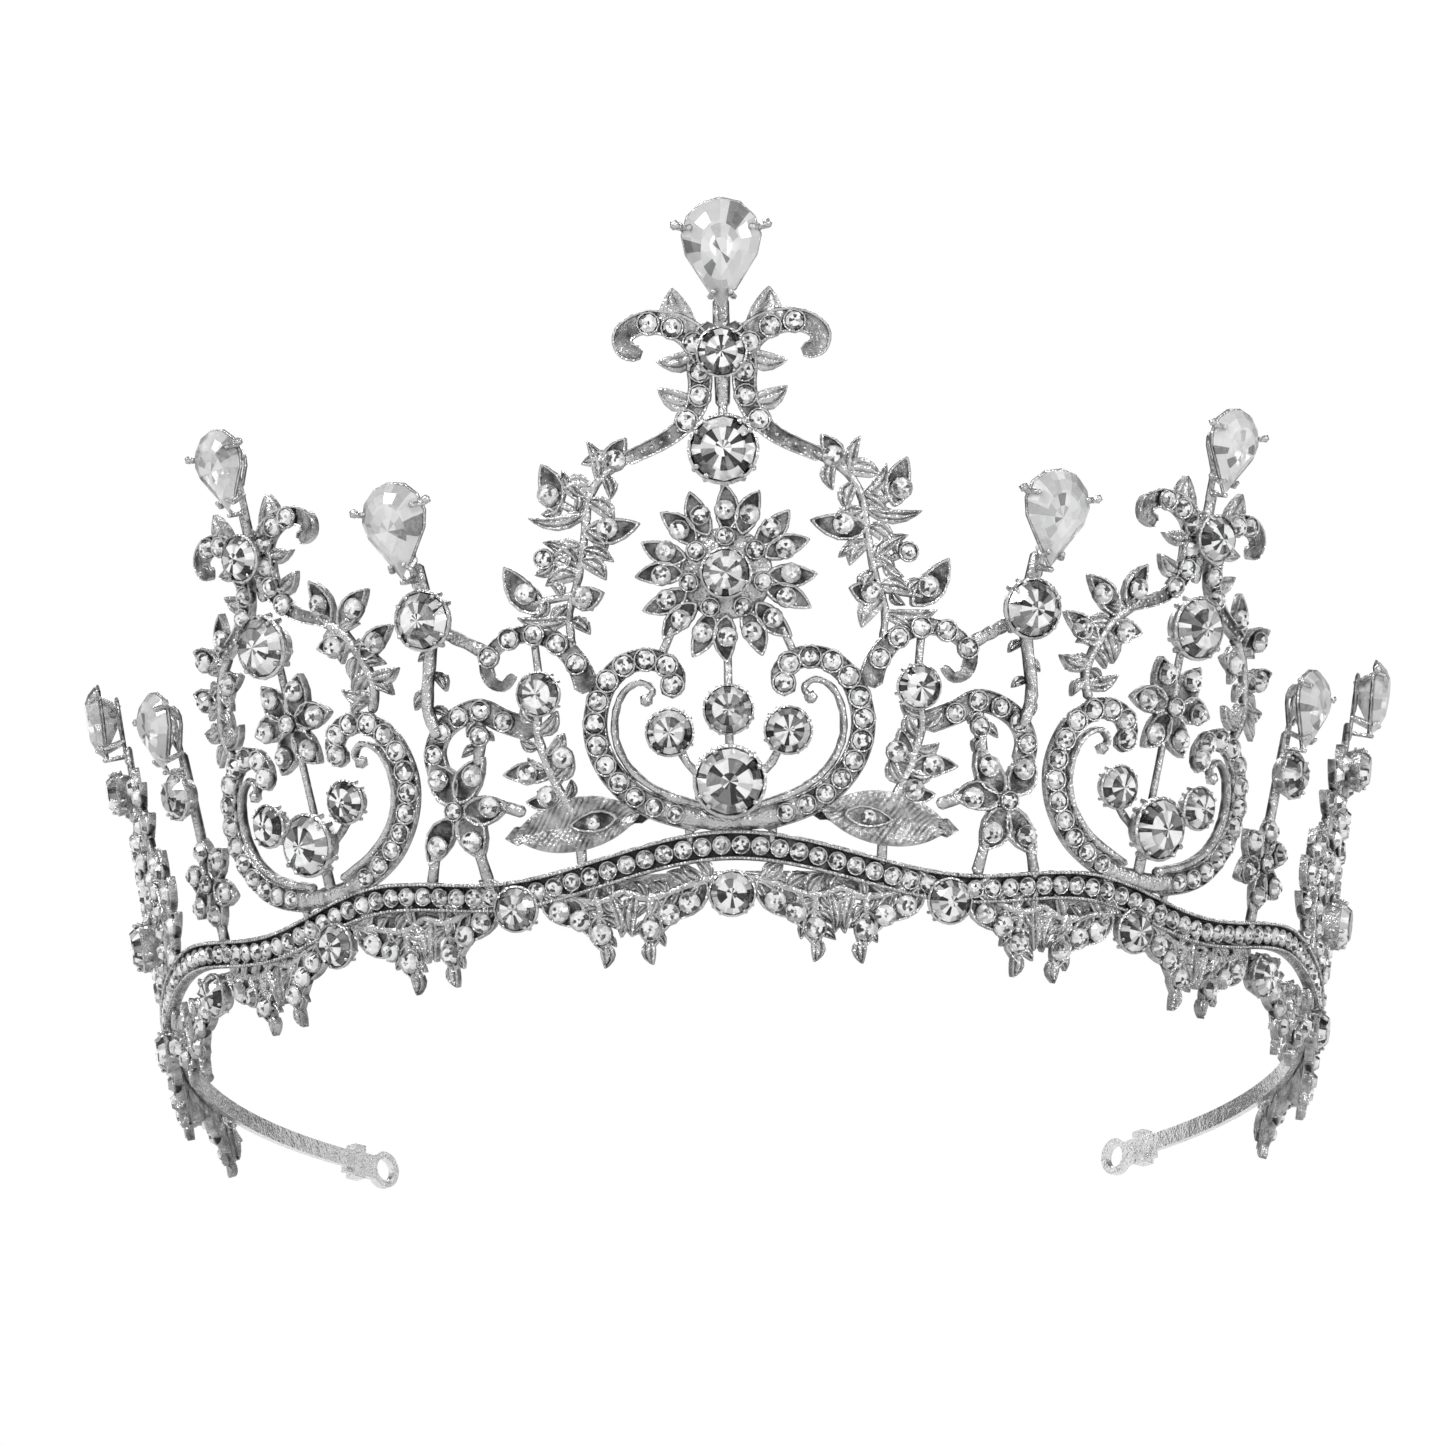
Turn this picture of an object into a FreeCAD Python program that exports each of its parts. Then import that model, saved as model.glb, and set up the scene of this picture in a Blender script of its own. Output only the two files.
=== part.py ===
import FreeCAD, Part
import Sketcher
import math
import os

# Bridal tiara. +Z up, the wearer's face towards -Y, standing on its lowest leaf tips at z = 0.
# The castings lie on a leaning cone-like sheet round the headband. A place on the sheet is given by
# a panel angle round the ring (degrees, 0 at the front, positive to +X) and by millimetres across,
# up and out.

doc = FreeCAD.newDocument("tiara")

# ---------------------------------------------------------------- driving dimensions
SIZES = {
    "ring_radius": 68.0,
    "ring_height": 8.8,
    "ring_setback": 24.0,
    "strip_width": 2.2,
    "strip_thickness": 0.8,
    "hoop_half_angle": 132.0,
    "loop_outer_radius": 2.4,
    "loop_eye_radius": 1.5,
    "loop_plate": 1.0,
    "loop_length": 5.4,
    "tab_length": 1.9,
    "tab_width": 1.1,
    "lean_front": 20.0,
    "lean_back": 10.0,
    "lean_from": 35.0,
    "lean_to": 80.0,
    "casting_standoff": 0.9,
    "casting_depth": 1.2,
    "rail_width": 3.4,
    "rail_floor": 0.8,
    "rail_lip": 0.5,
    "rail_lip_rise": 0.7,
    "scroll_width": 2.5,
    "wire_width": 0.9,
    "small_stone": 2.0,
    "small_stone_height": 0.9,
    "jewel_diameter": 5.0,
    "jewel_crown": 1.3,
    "jewel_back": 1.3,
    "cup_wall": 0.4,
    "cup_floor": 0.5,
    "claw_radius": 0.35,
    "pear_width": 8.6,
    "pear_length": 12.0,
    "pear_crown": 1.8,
    "pear_back": 3.2,
}

sheet = doc.addObject("Spreadsheet::Sheet", "sizes")
for row, (alias, value) in enumerate(SIZES.items(), start=1):
    sheet.set("A%d" % row, alias)
    sheet.set("B%d" % row, str(value))
    sheet.setAlias("B%d" % row, alias)
doc.recompute()


def size(alias):
    return float(sheet.get(alias))


nodes = []


def keep(obj, label):
    """Label one finished sub-part and remember it for the export."""
    obj.Label = label
    nodes.append(obj)
    return obj


# ---------------------------------------------------------------- the leaning sheet
def blend(value, low, high):
    """Smooth step from 0 at low to 1 at high."""
    share = min(max((value - low) / (high - low), 0.0), 1.0)
    return share * share * (3.0 - 2.0 * share)


def lean_at(angle):
    """Outward lean of the sheet in radians at a ring angle in degrees."""
    back_share = blend(abs(angle), size("lean_from"), size("lean_to"))
    front, back = size("lean_front"), size("lean_back")
    return math.radians(front + (back - front) * back_share)


def ring_angle(panel, across, up):
    """Ring angle in degrees of a point given across and up from a panel's middle."""
    radius = size("ring_radius") + up * math.sin(lean_at(panel))
    return panel + math.degrees(across / radius)


def directions(angle):
    """Tangent, up and outward unit vectors of the sheet at a ring angle."""
    turn, lean = math.radians(angle), lean_at(angle)
    radial = FreeCAD.Vector(math.sin(turn), -math.cos(turn), 0)
    vertical = FreeCAD.Vector(0, 0, 1)
    tangent = FreeCAD.Vector(math.cos(turn), math.sin(turn), 0)
    upward = radial * math.sin(lean) + vertical * math.cos(lean)
    outward = radial * math.cos(lean) - vertical * math.sin(lean)
    return tangent, upward, outward, radial


def on_sheet(panel, across, up, out=0.0):
    """Point on the sheet; out is measured from the back of the castings."""
    angle = ring_angle(panel, across, up)
    tangent, upward, outward, radial = directions(angle)
    centre = FreeCAD.Vector(0, size("ring_setback"), size("ring_height"))
    foot = centre + radial * size("ring_radius")
    return foot + upward * up + outward * (out + size("casting_standoff"))


def seat_placement(panel, across, up, out=0.0, turn=0.0):
    """Placement with local Z outward and local Y up the sheet, turned about Z."""
    tangent, upward, outward, radial = directions(ring_angle(panel, across, up))
    base = FreeCAD.Rotation(tangent, upward, outward, "ZXY")
    spin = FreeCAD.Rotation(FreeCAD.Vector(0, 0, 1), turn)
    return FreeCAD.Placement(on_sheet(panel, across, up, out), base * spin)


# ---------------------------------------------------------------- smooth paths
def smooth(points, steps=4):
    """Catmull-Rom points through a list of (across, up) points."""
    ends = [points[0]] + list(points) + [points[-1]]
    path = []
    for i in range(1, len(ends) - 2):
        p0, p1, p2, p3 = ends[i - 1:i + 3]
        for step in range(steps):
            t = step / steps
            path.append(tuple(
                0.5 * (2 * b + (c - a) * t + (2 * a - 5 * b + 4 * c - d) * t * t
                       + (3 * b - a - 3 * c + d) * t ** 3)
                for a, b, c, d in zip(p0, p1, p2, p3)))
    path.append(tuple(points[-1]))
    return path


def spaced(points, count, start=0.0, stop=1.0):
    """Evenly spaced places along a smooth path, between two shares of its length."""
    path = smooth(points, 8)
    lengths = [0.0]
    for (ax, ay), (bx, by) in zip(path, path[1:]):
        lengths.append(lengths[-1] + math.hypot(bx - ax, by - ay))
    places = []
    for i in range(count):
        share = start + (stop - start) * (i / (count - 1) if count > 1 else 0.5)
        goal = share * lengths[-1]
        k = max(j for j in range(len(path) - 1) if lengths[j] <= goal + 1e-9)
        part = (goal - lengths[k]) / (lengths[k + 1] - lengths[k])
        places.append((path[k][0] + (path[k + 1][0] - path[k][0]) * part,
                       path[k][1] + (path[k + 1][1] - path[k][1]) * part))
    return places


def mirrored(points, side):
    return [(side * across, up) for across, up in points]


# ---------------------------------------------------------------- casting elements
def loft_sections(sections):
    """Solid with flat-sided spans between closed sections."""
    wires = [Part.makePolygon(section + section[:1]) for section in sections]
    solid = Part.makeLoft(wires, True, True)
    if solid.Volume < 0:
        solid.reverse()
    return solid


def ribbon(panel, points, width, back=0.0, front=None, tail=1.0, steps=4):
    """Flat bar that follows a path on the sheet; tail is its width share at the end."""
    front = size("casting_depth") if front is None else front
    path = smooth(points, steps)
    sections = []
    for i, (across, up) in enumerate(path):
        ax, ay = path[max(i - 1, 0)]
        bx, by = path[min(i + 1, len(path) - 1)]
        run = math.hypot(bx - ax, by - ay)
        half = 0.5 * width * (1 + (tail - 1) * i / (len(path) - 1))
        tangent, upward, outward, radial = directions(ring_angle(panel, across, up))
        sideways = (tangent * (ay - by) + upward * (bx - ax)) * (half / run)
        middle = on_sheet(panel, across, up)
        sections.append([
            middle + sideways + outward * back,
            middle - sideways + outward * back,
            middle - sideways + outward * front,
            middle + sideways + outward * front])
    return loft_sections(sections)


def leaf(panel, base, tip, width, back=0.1, front=None):
    """Pointed leaf from base to tip, flat on the sheet at its middle."""
    front = 0.9 * size("casting_depth") if front is None else front
    dx, dy = tip[0] - base[0], tip[1] - base[1]
    length = math.hypot(dx, dy)
    middle = (base[0] + dx / 2, base[1] + dy / 2)
    place = seat_placement(panel, middle[0], middle[1], back, math.degrees(math.atan2(dy, dx)))
    heel, point = FreeCAD.Vector(-length / 2, 0, 0), FreeCAD.Vector(length / 2, 0, 0)
    side_a, side_b = FreeCAD.Vector(0, width / 2, 0), FreeCAD.Vector(0, -width / 2, 0)
    edges = [Part.Arc(heel, side_b, point).toShape(), Part.Arc(point, side_a, heel).toShape()]
    outline = Part.Wire(edges)
    solid = Part.Face(outline).extrude(FreeCAD.Vector(0, 0, front - back))
    solid.Placement = place
    return solid


def pad(panel, place, diameter, back=0.05, front=None):
    """Round boss that carries a stone."""
    front = 1.1 * size("casting_depth") if front is None else front
    solid = Part.makeCylinder(diameter / 2, front - back)
    solid.Placement = seat_placement(panel, place[0], place[1], back)
    return solid


def placed(template, panel, place, out, scale=1.0, turn=0.0):
    """Copy of a template set on the sheet."""
    copy = template.Shape.copy()
    if scale != 1.0:
        copy = copy.scaled(scale)
    copy.Placement = seat_placement(panel, place[0], place[1], out, turn)
    return copy


def melted(elements):
    """The elements of one casting as one solid."""
    return elements[0] if len(elements) == 1 else elements[0].fuse(elements[1:])


def casting(label, elements):
    """One casting in a node of its own."""
    obj = doc.addObject("Part::Feature", label)
    obj.Shape = melted(elements)
    return keep(obj, label)


def mirror_casting(label, original):
    """The other-handed twin of a casting."""
    obj = doc.addObject("Part::Feature", label)
    obj.Shape = original.Shape.mirror(FreeCAD.Vector(0, 0, 0), FreeCAD.Vector(1, 0, 0))
    return keep(obj, label)


def group(label, solids):
    """Equal loose pieces that share a node as separate solids."""
    obj = doc.addObject("Part::Feature", label)
    obj.Shape = Part.makeCompound(solids)
    return keep(obj, label)


# ---------------------------------------------------------------- templates
def origin_plane(body, role):
    return next(f for f in body.Origin.OriginFeatures if f.Role == role)


def body_with_sketch(name, role):
    """PartDesign body with an empty sketch on one of its origin planes."""
    body = doc.addObject("PartDesign::Body", name)
    sketch = body.newObject("Sketcher::SketchObject", name + "_sketch")
    sketch.AttachmentSupport = [(origin_plane(body, role), "")]
    sketch.MapMode = "FlatFace"
    return body, sketch


def closed_outline(sketch, corners):
    """Closed polygon in a sketch, its corners joined; their places are fixed by the caller."""
    count = len(corners)
    for i in range(count):
        (ax, ay), (bx, by) = corners[i], corners[(i + 1) % count]
        sketch.addGeometry(Part.LineSegment(FreeCAD.Vector(ax, ay, 0), FreeCAD.Vector(bx, by, 0)))
    for i in range(count):
        sketch.addConstraint(Sketcher.Constraint("Coincident", i, 2, (i + 1) % count, 1))


def turned_body(name, corners, formulas):
    """Body turned about Z from a half section; formulas drive each corner's x and y."""
    body, sketch = body_with_sketch(name, "XZ_Plane")
    closed_outline(sketch, corners)
    for i, (across_formula, up_formula) in enumerate(formulas):
        for kind, formula, value in (("DistanceX", across_formula, corners[i][0]),
                                     ("DistanceY", up_formula, corners[i][1])):
            if formula is None:
                axis_point = Sketcher.Constraint(kind, -1, 1, i, 1, 0.0)
                sketch.addConstraint(axis_point)
                continue
            index = sketch.addConstraint(Sketcher.Constraint(kind, -1, 1, i, 1, value))
            sketch.setExpression("Constraints[%d]" % index, formula)
    turned = body.newObject("PartDesign::Revolution", name + "_turn")
    turned.Profile = sketch
    turned.ReferenceAxis = (sketch, ["V_Axis"])
    turned.Angle = 360.0
    body.Tip = turned
    return body


TABLE_SHARE = 0.55
CULET_SHARE = 0.35

stone_radius = size("small_stone") / 2
stone_height = size("small_stone_height")
small_stone = turned_body(
    "small_stone_template",
    [(0, 0), (stone_radius, 0), (stone_radius, 0.3 * stone_height),
     (TABLE_SHARE * stone_radius, stone_height), (0, stone_height)],
    [(None, None), ("sizes.small_stone / 2", None),
     ("sizes.small_stone / 2", "0.3 * sizes.small_stone_height"),
     ("%g * sizes.small_stone / 2" % TABLE_SHARE, "sizes.small_stone_height"),
     (None, "sizes.small_stone_height")])

jewel_radius = size("jewel_diameter") / 2
jewel_back, jewel_crown = size("jewel_back"), size("jewel_crown")
round_jewel = turned_body(
    "round_jewel_template",
    [(0, 0), (CULET_SHARE * jewel_radius, 0), (jewel_radius, jewel_back),
     (jewel_radius, jewel_back + 0.2), (TABLE_SHARE * jewel_radius, jewel_back + jewel_crown),
     (0, jewel_back + jewel_crown)],
    [(None, None), ("%g * sizes.jewel_diameter / 2" % CULET_SHARE, None),
     ("sizes.jewel_diameter / 2", "sizes.jewel_back"),
     ("sizes.jewel_diameter / 2", "sizes.jewel_back + 0.2"),
     ("%g * sizes.jewel_diameter / 2" % TABLE_SHARE, "sizes.jewel_back + sizes.jewel_crown"),
     (None, "sizes.jewel_back + sizes.jewel_crown")])

# The cup is a dish with a tapered seat that the jewel's back fits, on a floor.
cup_outer = jewel_radius + size("cup_wall")
cup_floor = size("cup_floor")
jewel_cup = turned_body(
    "jewel_cup_template",
    [(0, 0), (cup_outer - 0.6, 0), (cup_outer, cup_floor + jewel_back),
     (jewel_radius, cup_floor + jewel_back), (CULET_SHARE * jewel_radius, cup_floor), (0, cup_floor)],
    [(None, None), ("sizes.jewel_diameter / 2 + sizes.cup_wall - 0.6", None),
     ("sizes.jewel_diameter / 2 + sizes.cup_wall", "sizes.cup_floor + sizes.jewel_back"),
     ("sizes.jewel_diameter / 2", "sizes.cup_floor + sizes.jewel_back"),
     ("%g * sizes.jewel_diameter / 2" % CULET_SHARE, "sizes.cup_floor"),
     (None, "sizes.cup_floor")])
doc.recompute()

CLAW_COUNT = 4


def cup(panel, place, diameter, out=0.2):
    """Claw cup for a round crystal: the dish, its claws and a peg into the sheet."""
    scale = diameter / size("jewel_diameter")
    pieces = [placed(jewel_cup, panel, place, out, scale)]
    rise = size("jewel_crown") * scale
    for i in range(CLAW_COUNT):
        claw = Part.makeCylinder(size("claw_radius"), rise + 0.5)
        turn = math.pi / 4 + i * 2 * math.pi / CLAW_COUNT
        reach = diameter / 2 + size("cup_wall") * scale
        low = (size("cup_floor") + size("jewel_back")) * scale - 1.0
        claw.translate(FreeCAD.Vector(reach * math.cos(turn), reach * math.sin(turn), low))
        claw.Placement = seat_placement(panel, place[0], place[1], out).multiply(claw.Placement)
        pieces.append(claw)
    return pieces


def jewel(panel, place, diameter, out=0.2):
    """Round crystal resting in its cup."""
    scale = diameter / size("jewel_diameter")
    return placed(round_jewel, panel, place, out + size("cup_floor") * scale, scale)


def stone(panel, place, out=None, scale=1.0):
    """Small flat-backed stone on the face of a casting."""
    out = 1.1 * size("casting_depth") if out is None else out
    return placed(small_stone, panel, place, out, scale)


# ---------------------------------------------------------------- pear crystals
def pear_outline(width, length, level):
    """Closed pear outline with its point down (-Y), centred on its length."""
    radius = width / 2
    top = length / 2
    centre_y = top - radius
    point = FreeCAD.Vector(0, -length / 2, level)
    reach = centre_y + length / 2
    touch = math.asin(radius / reach * 0.82)
    right = FreeCAD.Vector(radius * math.cos(touch), centre_y - radius * math.sin(touch), level)
    left = FreeCAD.Vector(-right.x, right.y, level)
    crown = FreeCAD.Vector(0, top, level)
    return Part.Wire([
        Part.Arc(right, crown, left).toShape(),
        Part.LineSegment(left, point).toShape(),
        Part.LineSegment(point, right).toShape()])


def pear_crystal(panel, place, scale, out, turn):
    """Pear-cut crystal: back, thin girdle and crown."""
    width, length = size("pear_width") * scale, size("pear_length") * scale
    back, crown = size("pear_back") * scale, size("pear_crown") * scale
    levels = [(0.3, 0.0), (1.0, back), (1.0, back + 0.3 * scale), (0.6, back + crown)]
    wires = [pear_outline(width * share, length * share, level) for share, level in levels]
    solid = Part.makeLoft(wires, True, True)
    solid.Placement = seat_placement(panel, place[0], place[1], out, turn)
    return solid


PEAR_CLAWS = ((35.0, 0.47), (145.0, 0.47), (215.0, 0.36), (325.0, 0.36))


def pear_claws(panel, place, scale, out, turn):
    """Open basket under a pear crystal: a floor plate, four claws and a point cap."""
    width, length = size("pear_width") * scale, size("pear_length") * scale
    rise = (size("pear_back") + size("pear_crown") * 0.8) * scale
    radius = size("claw_radius") * 1.2
    plate_outline = pear_outline(width * 0.7, length * 0.75, -0.6)
    floor_plate = Part.Face(plate_outline).extrude(FreeCAD.Vector(0, 0, 0.6))
    pieces = [floor_plate]
    for bearing, share in PEAR_CLAWS:
        angle = math.radians(bearing)
        foot = FreeCAD.Vector(0.2 * width * math.cos(angle), 0.2 * length * math.sin(angle), -0.5)
        head = FreeCAD.Vector((share * width + radius) * math.cos(angle) * 1.2,
                              (share * length) * math.sin(angle) * 1.15, rise)
        claw = Part.makeCylinder(radius, (head - foot).Length, foot, head - foot)
        pieces.append(claw)
    cap = Part.makeBox(1.6 * scale, 1.5 * scale, rise + 0.6,
                       FreeCAD.Vector(-0.8 * scale, -length / 2 - 1.2 * scale, -0.6))
    bridge = Part.makeBox(1.6 * scale, 0.5 * length, 0.6,
                          FreeCAD.Vector(-0.8 * scale, -length / 2 - 0.6 * scale, -0.6))
    pieces += [cap, bridge]
    for piece in pieces:
        piece.Placement = seat_placement(panel, place[0], place[1], out, turn).multiply(piece.Placement)
    return pieces


# ---------------------------------------------------------------- the headband
def make_hoop():
    """Flat strip turned round the head, open at the back."""
    body, sketch = body_with_sketch("headband_hoop_body", "XZ_Plane")
    radius, half = size("ring_radius"), size("strip_width") / 2
    depth = size("strip_thickness")
    corners = [(radius - depth / 2, -half), (radius + depth / 2, -half),
               (radius + depth / 2, half), (radius - depth / 2, half)]
    closed_outline(sketch, corners)
    for i, (across, up) in enumerate(corners):
        across_sign = "-" if i in (0, 3) else "+"
        up_sign = "-" if i in (0, 1) else ""
        index = sketch.addConstraint(Sketcher.Constraint("DistanceX", -1, 1, i, 1, across))
        sketch.setExpression("Constraints[%d]" % index,
                             "sizes.ring_radius %s sizes.strip_thickness / 2" % across_sign)
        index = sketch.addConstraint(Sketcher.Constraint("DistanceY", -1, 1, i, 1, up))
        sketch.setExpression("Constraints[%d]" % index, "%ssizes.strip_width / 2" % up_sign)
    turned = body.newObject("PartDesign::Revolution", "hoop_turn")
    turned.Profile = sketch
    turned.ReferenceAxis = (sketch, ["V_Axis"])
    turned.setExpression("Angle", "2 * sizes.hoop_half_angle")
    turned.Midplane = True
    body.Tip = turned
    doc.recompute()
    body.Placement = FreeCAD.Placement(
        FreeCAD.Vector(0, size("ring_setback"), size("ring_height")),
        FreeCAD.Rotation(FreeCAD.Vector(0, 0, 1), -90))
    keep(body, "headband_hoop")


def bound(kind, name, formulas):
    """Part primitive with each property driven by the sheet."""
    obj = doc.addObject(kind, name)
    for property_name, formula in formulas.items():
        obj.setExpression(property_name, formula)
    return obj


SLEEVE_LAP = 2.6
SLEEVE_MARGIN = 0.45
TAB_START = 0.8
EYE_OVERLAP = 0.8


def make_end_loop(side, name):
    """Crimped end piece: a sleeve with two side tabs and an upright eye plate."""
    # Local x runs on past the strip's end, local y points away from the head.
    face = "sizes.strip_thickness / 2"
    eye_middle = "sizes.loop_length + sizes.loop_outer_radius - %g" % EYE_OVERLAP
    sleeve = bound("Part::Box", name + "_sleeve", {
        "Length": "sizes.loop_length",
        "Width": "sizes.loop_plate",
        "Height": "sizes.strip_width + %g" % (2 * SLEEVE_MARGIN),
        "Placement.Base.y": face,
        "Placement.Base.z": "-sizes.strip_width / 2 - %g" % SLEEVE_MARGIN})
    tabs = []
    for place, low in (
            ("upper", "sizes.strip_width / 2"),
            ("lower", "-sizes.strip_width / 2 - sizes.tab_width")):
        tabs.append(bound("Part::Box", "%s_%s_tab" % (name, place), {
            "Length": "sizes.tab_length",
            "Width": "sizes.strip_thickness + sizes.loop_plate",
            "Height": "sizes.tab_width",
            "Placement.Base.x": "%g" % TAB_START,
            "Placement.Base.y": "-sizes.strip_thickness / 2",
            "Placement.Base.z": low}))
    discs = []
    for place, radius, length, start in (
            ("plate", "sizes.loop_outer_radius", "sizes.loop_plate", face),
            ("eye", "sizes.loop_eye_radius", "3 * sizes.loop_plate", "-sizes.loop_plate")):
        disc = bound("Part::Cylinder", "%s_%s" % (name, place), {"Radius": radius, "Height": length})
        disc.Placement.Rotation = FreeCAD.Rotation(FreeCAD.Vector(1, 0, 0), -90)
        disc.setExpression("Placement.Base.x", eye_middle)
        disc.setExpression("Placement.Base.y", start)
        discs.append(disc)
    body = doc.addObject("Part::MultiFuse", name + "_body")
    body.Shapes = [sleeve, discs[0]] + tabs
    loop = doc.addObject("Part::Cut", name)
    loop.Base = body
    loop.Tool = discs[1]
    tangent, upward, outward, radial = directions(side * size("hoop_half_angle"))
    onward = tangent * side
    start = FreeCAD.Vector(0, size("ring_setback"), size("ring_height")) + radial * size("ring_radius")
    rotation = FreeCAD.Rotation(onward, radial, onward.cross(radial), "ZXY")
    loop.Placement = FreeCAD.Placement(start - onward * SLEEVE_LAP, rotation)
    doc.recompute()
    return keep(loop, name)


# ---------------------------------------------------------------- channel rails
# Height of the rail's middle above the strip's middle: its crests and troughs by ring angle.
RAIL_WAVE = ((0.0, 4.1), (20.5, 0.3), (35.0, 2.6), (48.0, 1.0), (67.0, 4.8), (106.0, -0.5))
CENTRE_RAIL_END = 20.6
SIDE_RAIL_END = 104.0


def rail_height(angle):
    """Height of the rail's middle, with round crests and troughs."""
    angle = abs(angle)
    for (low_angle, low), (high_angle, high) in zip(RAIL_WAVE, RAIL_WAVE[1:]):
        if angle <= high_angle:
            return low + (high - low) * blend(angle, low_angle, high_angle)
    return RAIL_WAVE[-1][1]


def rail(label, first, last):
    """Channel bar with two raised lips between two ring angles."""
    half, lip = size("rail_width") / 2, size("rail_lip")
    floor_level = size("rail_floor")
    top_level = floor_level + size("rail_lip_rise")
    profile = [
        (-half, 0), (half, 0), (half, top_level), (half - lip, top_level), (half - lip, floor_level),
        (lip - half, floor_level), (lip - half, top_level), (-half, top_level)]
    step_count = max(int(abs(last - first) / 2.5), 4)
    sections = []
    for i in range(step_count + 1):
        angle = first + (last - first) * i / step_count
        sections.append([on_sheet(angle, 0, rail_height(angle) + up, out) for up, out in profile])
    casting(label, [loft_sections(sections)])


def rail_stone_places():
    """Ring angles of the equal stones in the three channels."""
    pitch = 1.72
    centre = [(i - 10.5) * pitch for i in range(22)]
    first_side, side_count = 22.6, 47
    side_row = [first_side + i * pitch for i in range(side_count)]
    return centre + side_row + [-angle for angle in side_row]


# ---------------------------------------------------------------- open heart scrolls
HEART = [(0.3, 6.7), (3.6, 7.0), (7.4, 8.2), (10.4, 9.9), (12.7, 12.4), (14.1, 15.1), (14.6, 17.9),
         (14.1, 20.8), (12.9, 23.0), (10.5, 24.7), (7.4, 24.6), (5.8, 22.9), (6.3, 21.3)]
HEART_WIRE = [
    (2.6, 8.3), (7.0, 9.9), (10.4, 12.4), (12.2, 15.6), (12.4, 18.8), (11.4, 21.4), (9.5, 22.4),
    (8.2, 21.4), (8.9, 20.4)]
HEART_POST = [(4.6, 7.0), (4.4, 4.4)]
HEART_STONES = 13


def heart_points(points, side, drop, widen):
    return [(side * across * widen, up - drop) for across, up in points]


def heart_half(label, panel, side, drop=0.0, widen=1.0):
    """One C scroll of the open heart, with its inner wire curl."""
    band = heart_points(HEART, side, drop, widen)
    wire = heart_points(HEART_WIRE, side, drop, widen)
    elements = [ribbon(panel, band, size("scroll_width"), tail=0.6),
                ribbon(panel, wire, size("wire_width"), 0.1, 1.0, tail=0.7),
                ribbon(panel, [wire[0], band[1]], size("wire_width"), 0.15, 0.95, steps=1),
                ribbon(panel, heart_points(HEART_POST, side, drop, 1.0), 1.0, 0.2, 0.9, steps=1)]
    casting(label, elements)


def heart_stones(panel, side, drop=0.0, widen=1.0):
    """Stones set in one C scroll."""
    band = heart_points(HEART, side, drop, widen)
    places = spaced(band, HEART_STONES, 0.16, 0.98)
    return [stone(panel, place, size("casting_depth")) for place in places]


# ---------------------------------------------------------------- centre panel data (right half)
DROP_STRUT = [(6.3, 17.6), (4.6, 13.2), (1.0, 10.2)]
DROP_JEWELS = [((0.0, 19.0), 5.1), ((6.3, 16.7), 4.9), ((-6.3, 16.7), 4.9), ((0.0, 11.1), 7.3)]
ROSETTE_MIDDLE = (0.0, 34.0)
ROSETTE_TIP = 9.7
ROSETTE_PETALS = 16
ROSETTE_INNER = 7
ROSETTE_LINK = [(6.0, 28.0), (7.2, 25.2)]
HUB_DIAMETER = 5.1
ARCH_JEWEL = ((0.0, 47.6), 7.1)
CREST_JEWEL = ((0.0, 58.3), 5.1)
PEAK_PEAR = (0.2, 69.0)

CREST_CURL = [
    (1.6, 58.0), (3.4, 60.4), (5.8, 61.7), (8.6, 61.9), (10.6, 60.8), (10.5, 59.2), (9.3, 58.6)]
CREST_LEG = [(1.2, 60.6), (2.4, 57.6), (2.4, 54.6), (3.2, 51.8), (5.8, 49.2), (10.2, 47.2)]
CREST_LEAVES = [
    ((3.2, 60.2), (5.2, 65.2), 2.6), ((2.6, 58.4), (7.0, 57.6), 1.4),
    ((2.9, 53.0), (6.9, 54.4), 1.5)]
CREST_STONES = [(5.3, 61.2), (7.9, 61.8), (3.0, 59.4), (2.4, 56.3), (2.5, 53.6), (3.9, 50.9)]

LAUREL_SPINE = [
    (10.2, 47.2), (12.9, 45.7), (14.8, 43.2), (15.5, 38.6), (16.2, 34.5), (17.3, 30.6),
    (17.0, 27.0)]
LAUREL_LEAVES = [
    ((12.6, 45.9), (10.7, 49.3), 2.1), ((13.8, 44.8), (14.9, 49.2), 1.5),
    ((14.9, 43.0), (17.6, 46.4), 1.4), ((18.6, 42.0), (20.0, 47.2), 2.5),
    ((15.4, 41.4), (21.4, 41.6), 1.5), ((15.4, 39.4), (9.5, 39.9), 2.6),
    ((15.6, 37.4), (12.4, 35.9), 1.5), ((16.0, 35.6), (19.9, 38.6), 1.5),
    ((20.4, 31.2), (24.4, 36.4), 2.7), ((16.9, 32.0), (13.5, 32.6), 2.4),
    ((17.3, 30.2), (22.9, 30.8), 1.6)]
LAUREL_LINKS = [
    [(15.0, 40.8), (19.4, 43.8)], [(16.6, 32.6), (21.4, 32.2)], [(16.0, 35.0), (20.4, 37.2)]]
LAUREL_STONES = [(11.8, 47.0), (19.3, 43.9), (12.8, 39.6), (22.1, 33.3), (15.7, 32.2), (19.9, 36.9)]

SHOULDER_SCROLL = [(15.5, 22.6), (16.2, 24.6), (17.6, 26.6), (19.6, 28.2), (22.3, 28.9), (25.0, 28.3),
                   (26.8, 26.6), (26.5, 24.5), (25.0, 23.5), (23.9, 24.4)]
SHOULDER_JEWEL = ((20.6, 22.1), 4.6)
SHOULDER_BAR = [(26.6, 27.2), (29.4, 28.9), (31.6, 30.2)]
SHOULDER_STONES = [(16.5, 25.0), (18.6, 27.4), (21.2, 28.7), (24.1, 28.6), (26.5, 26.9)]

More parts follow.
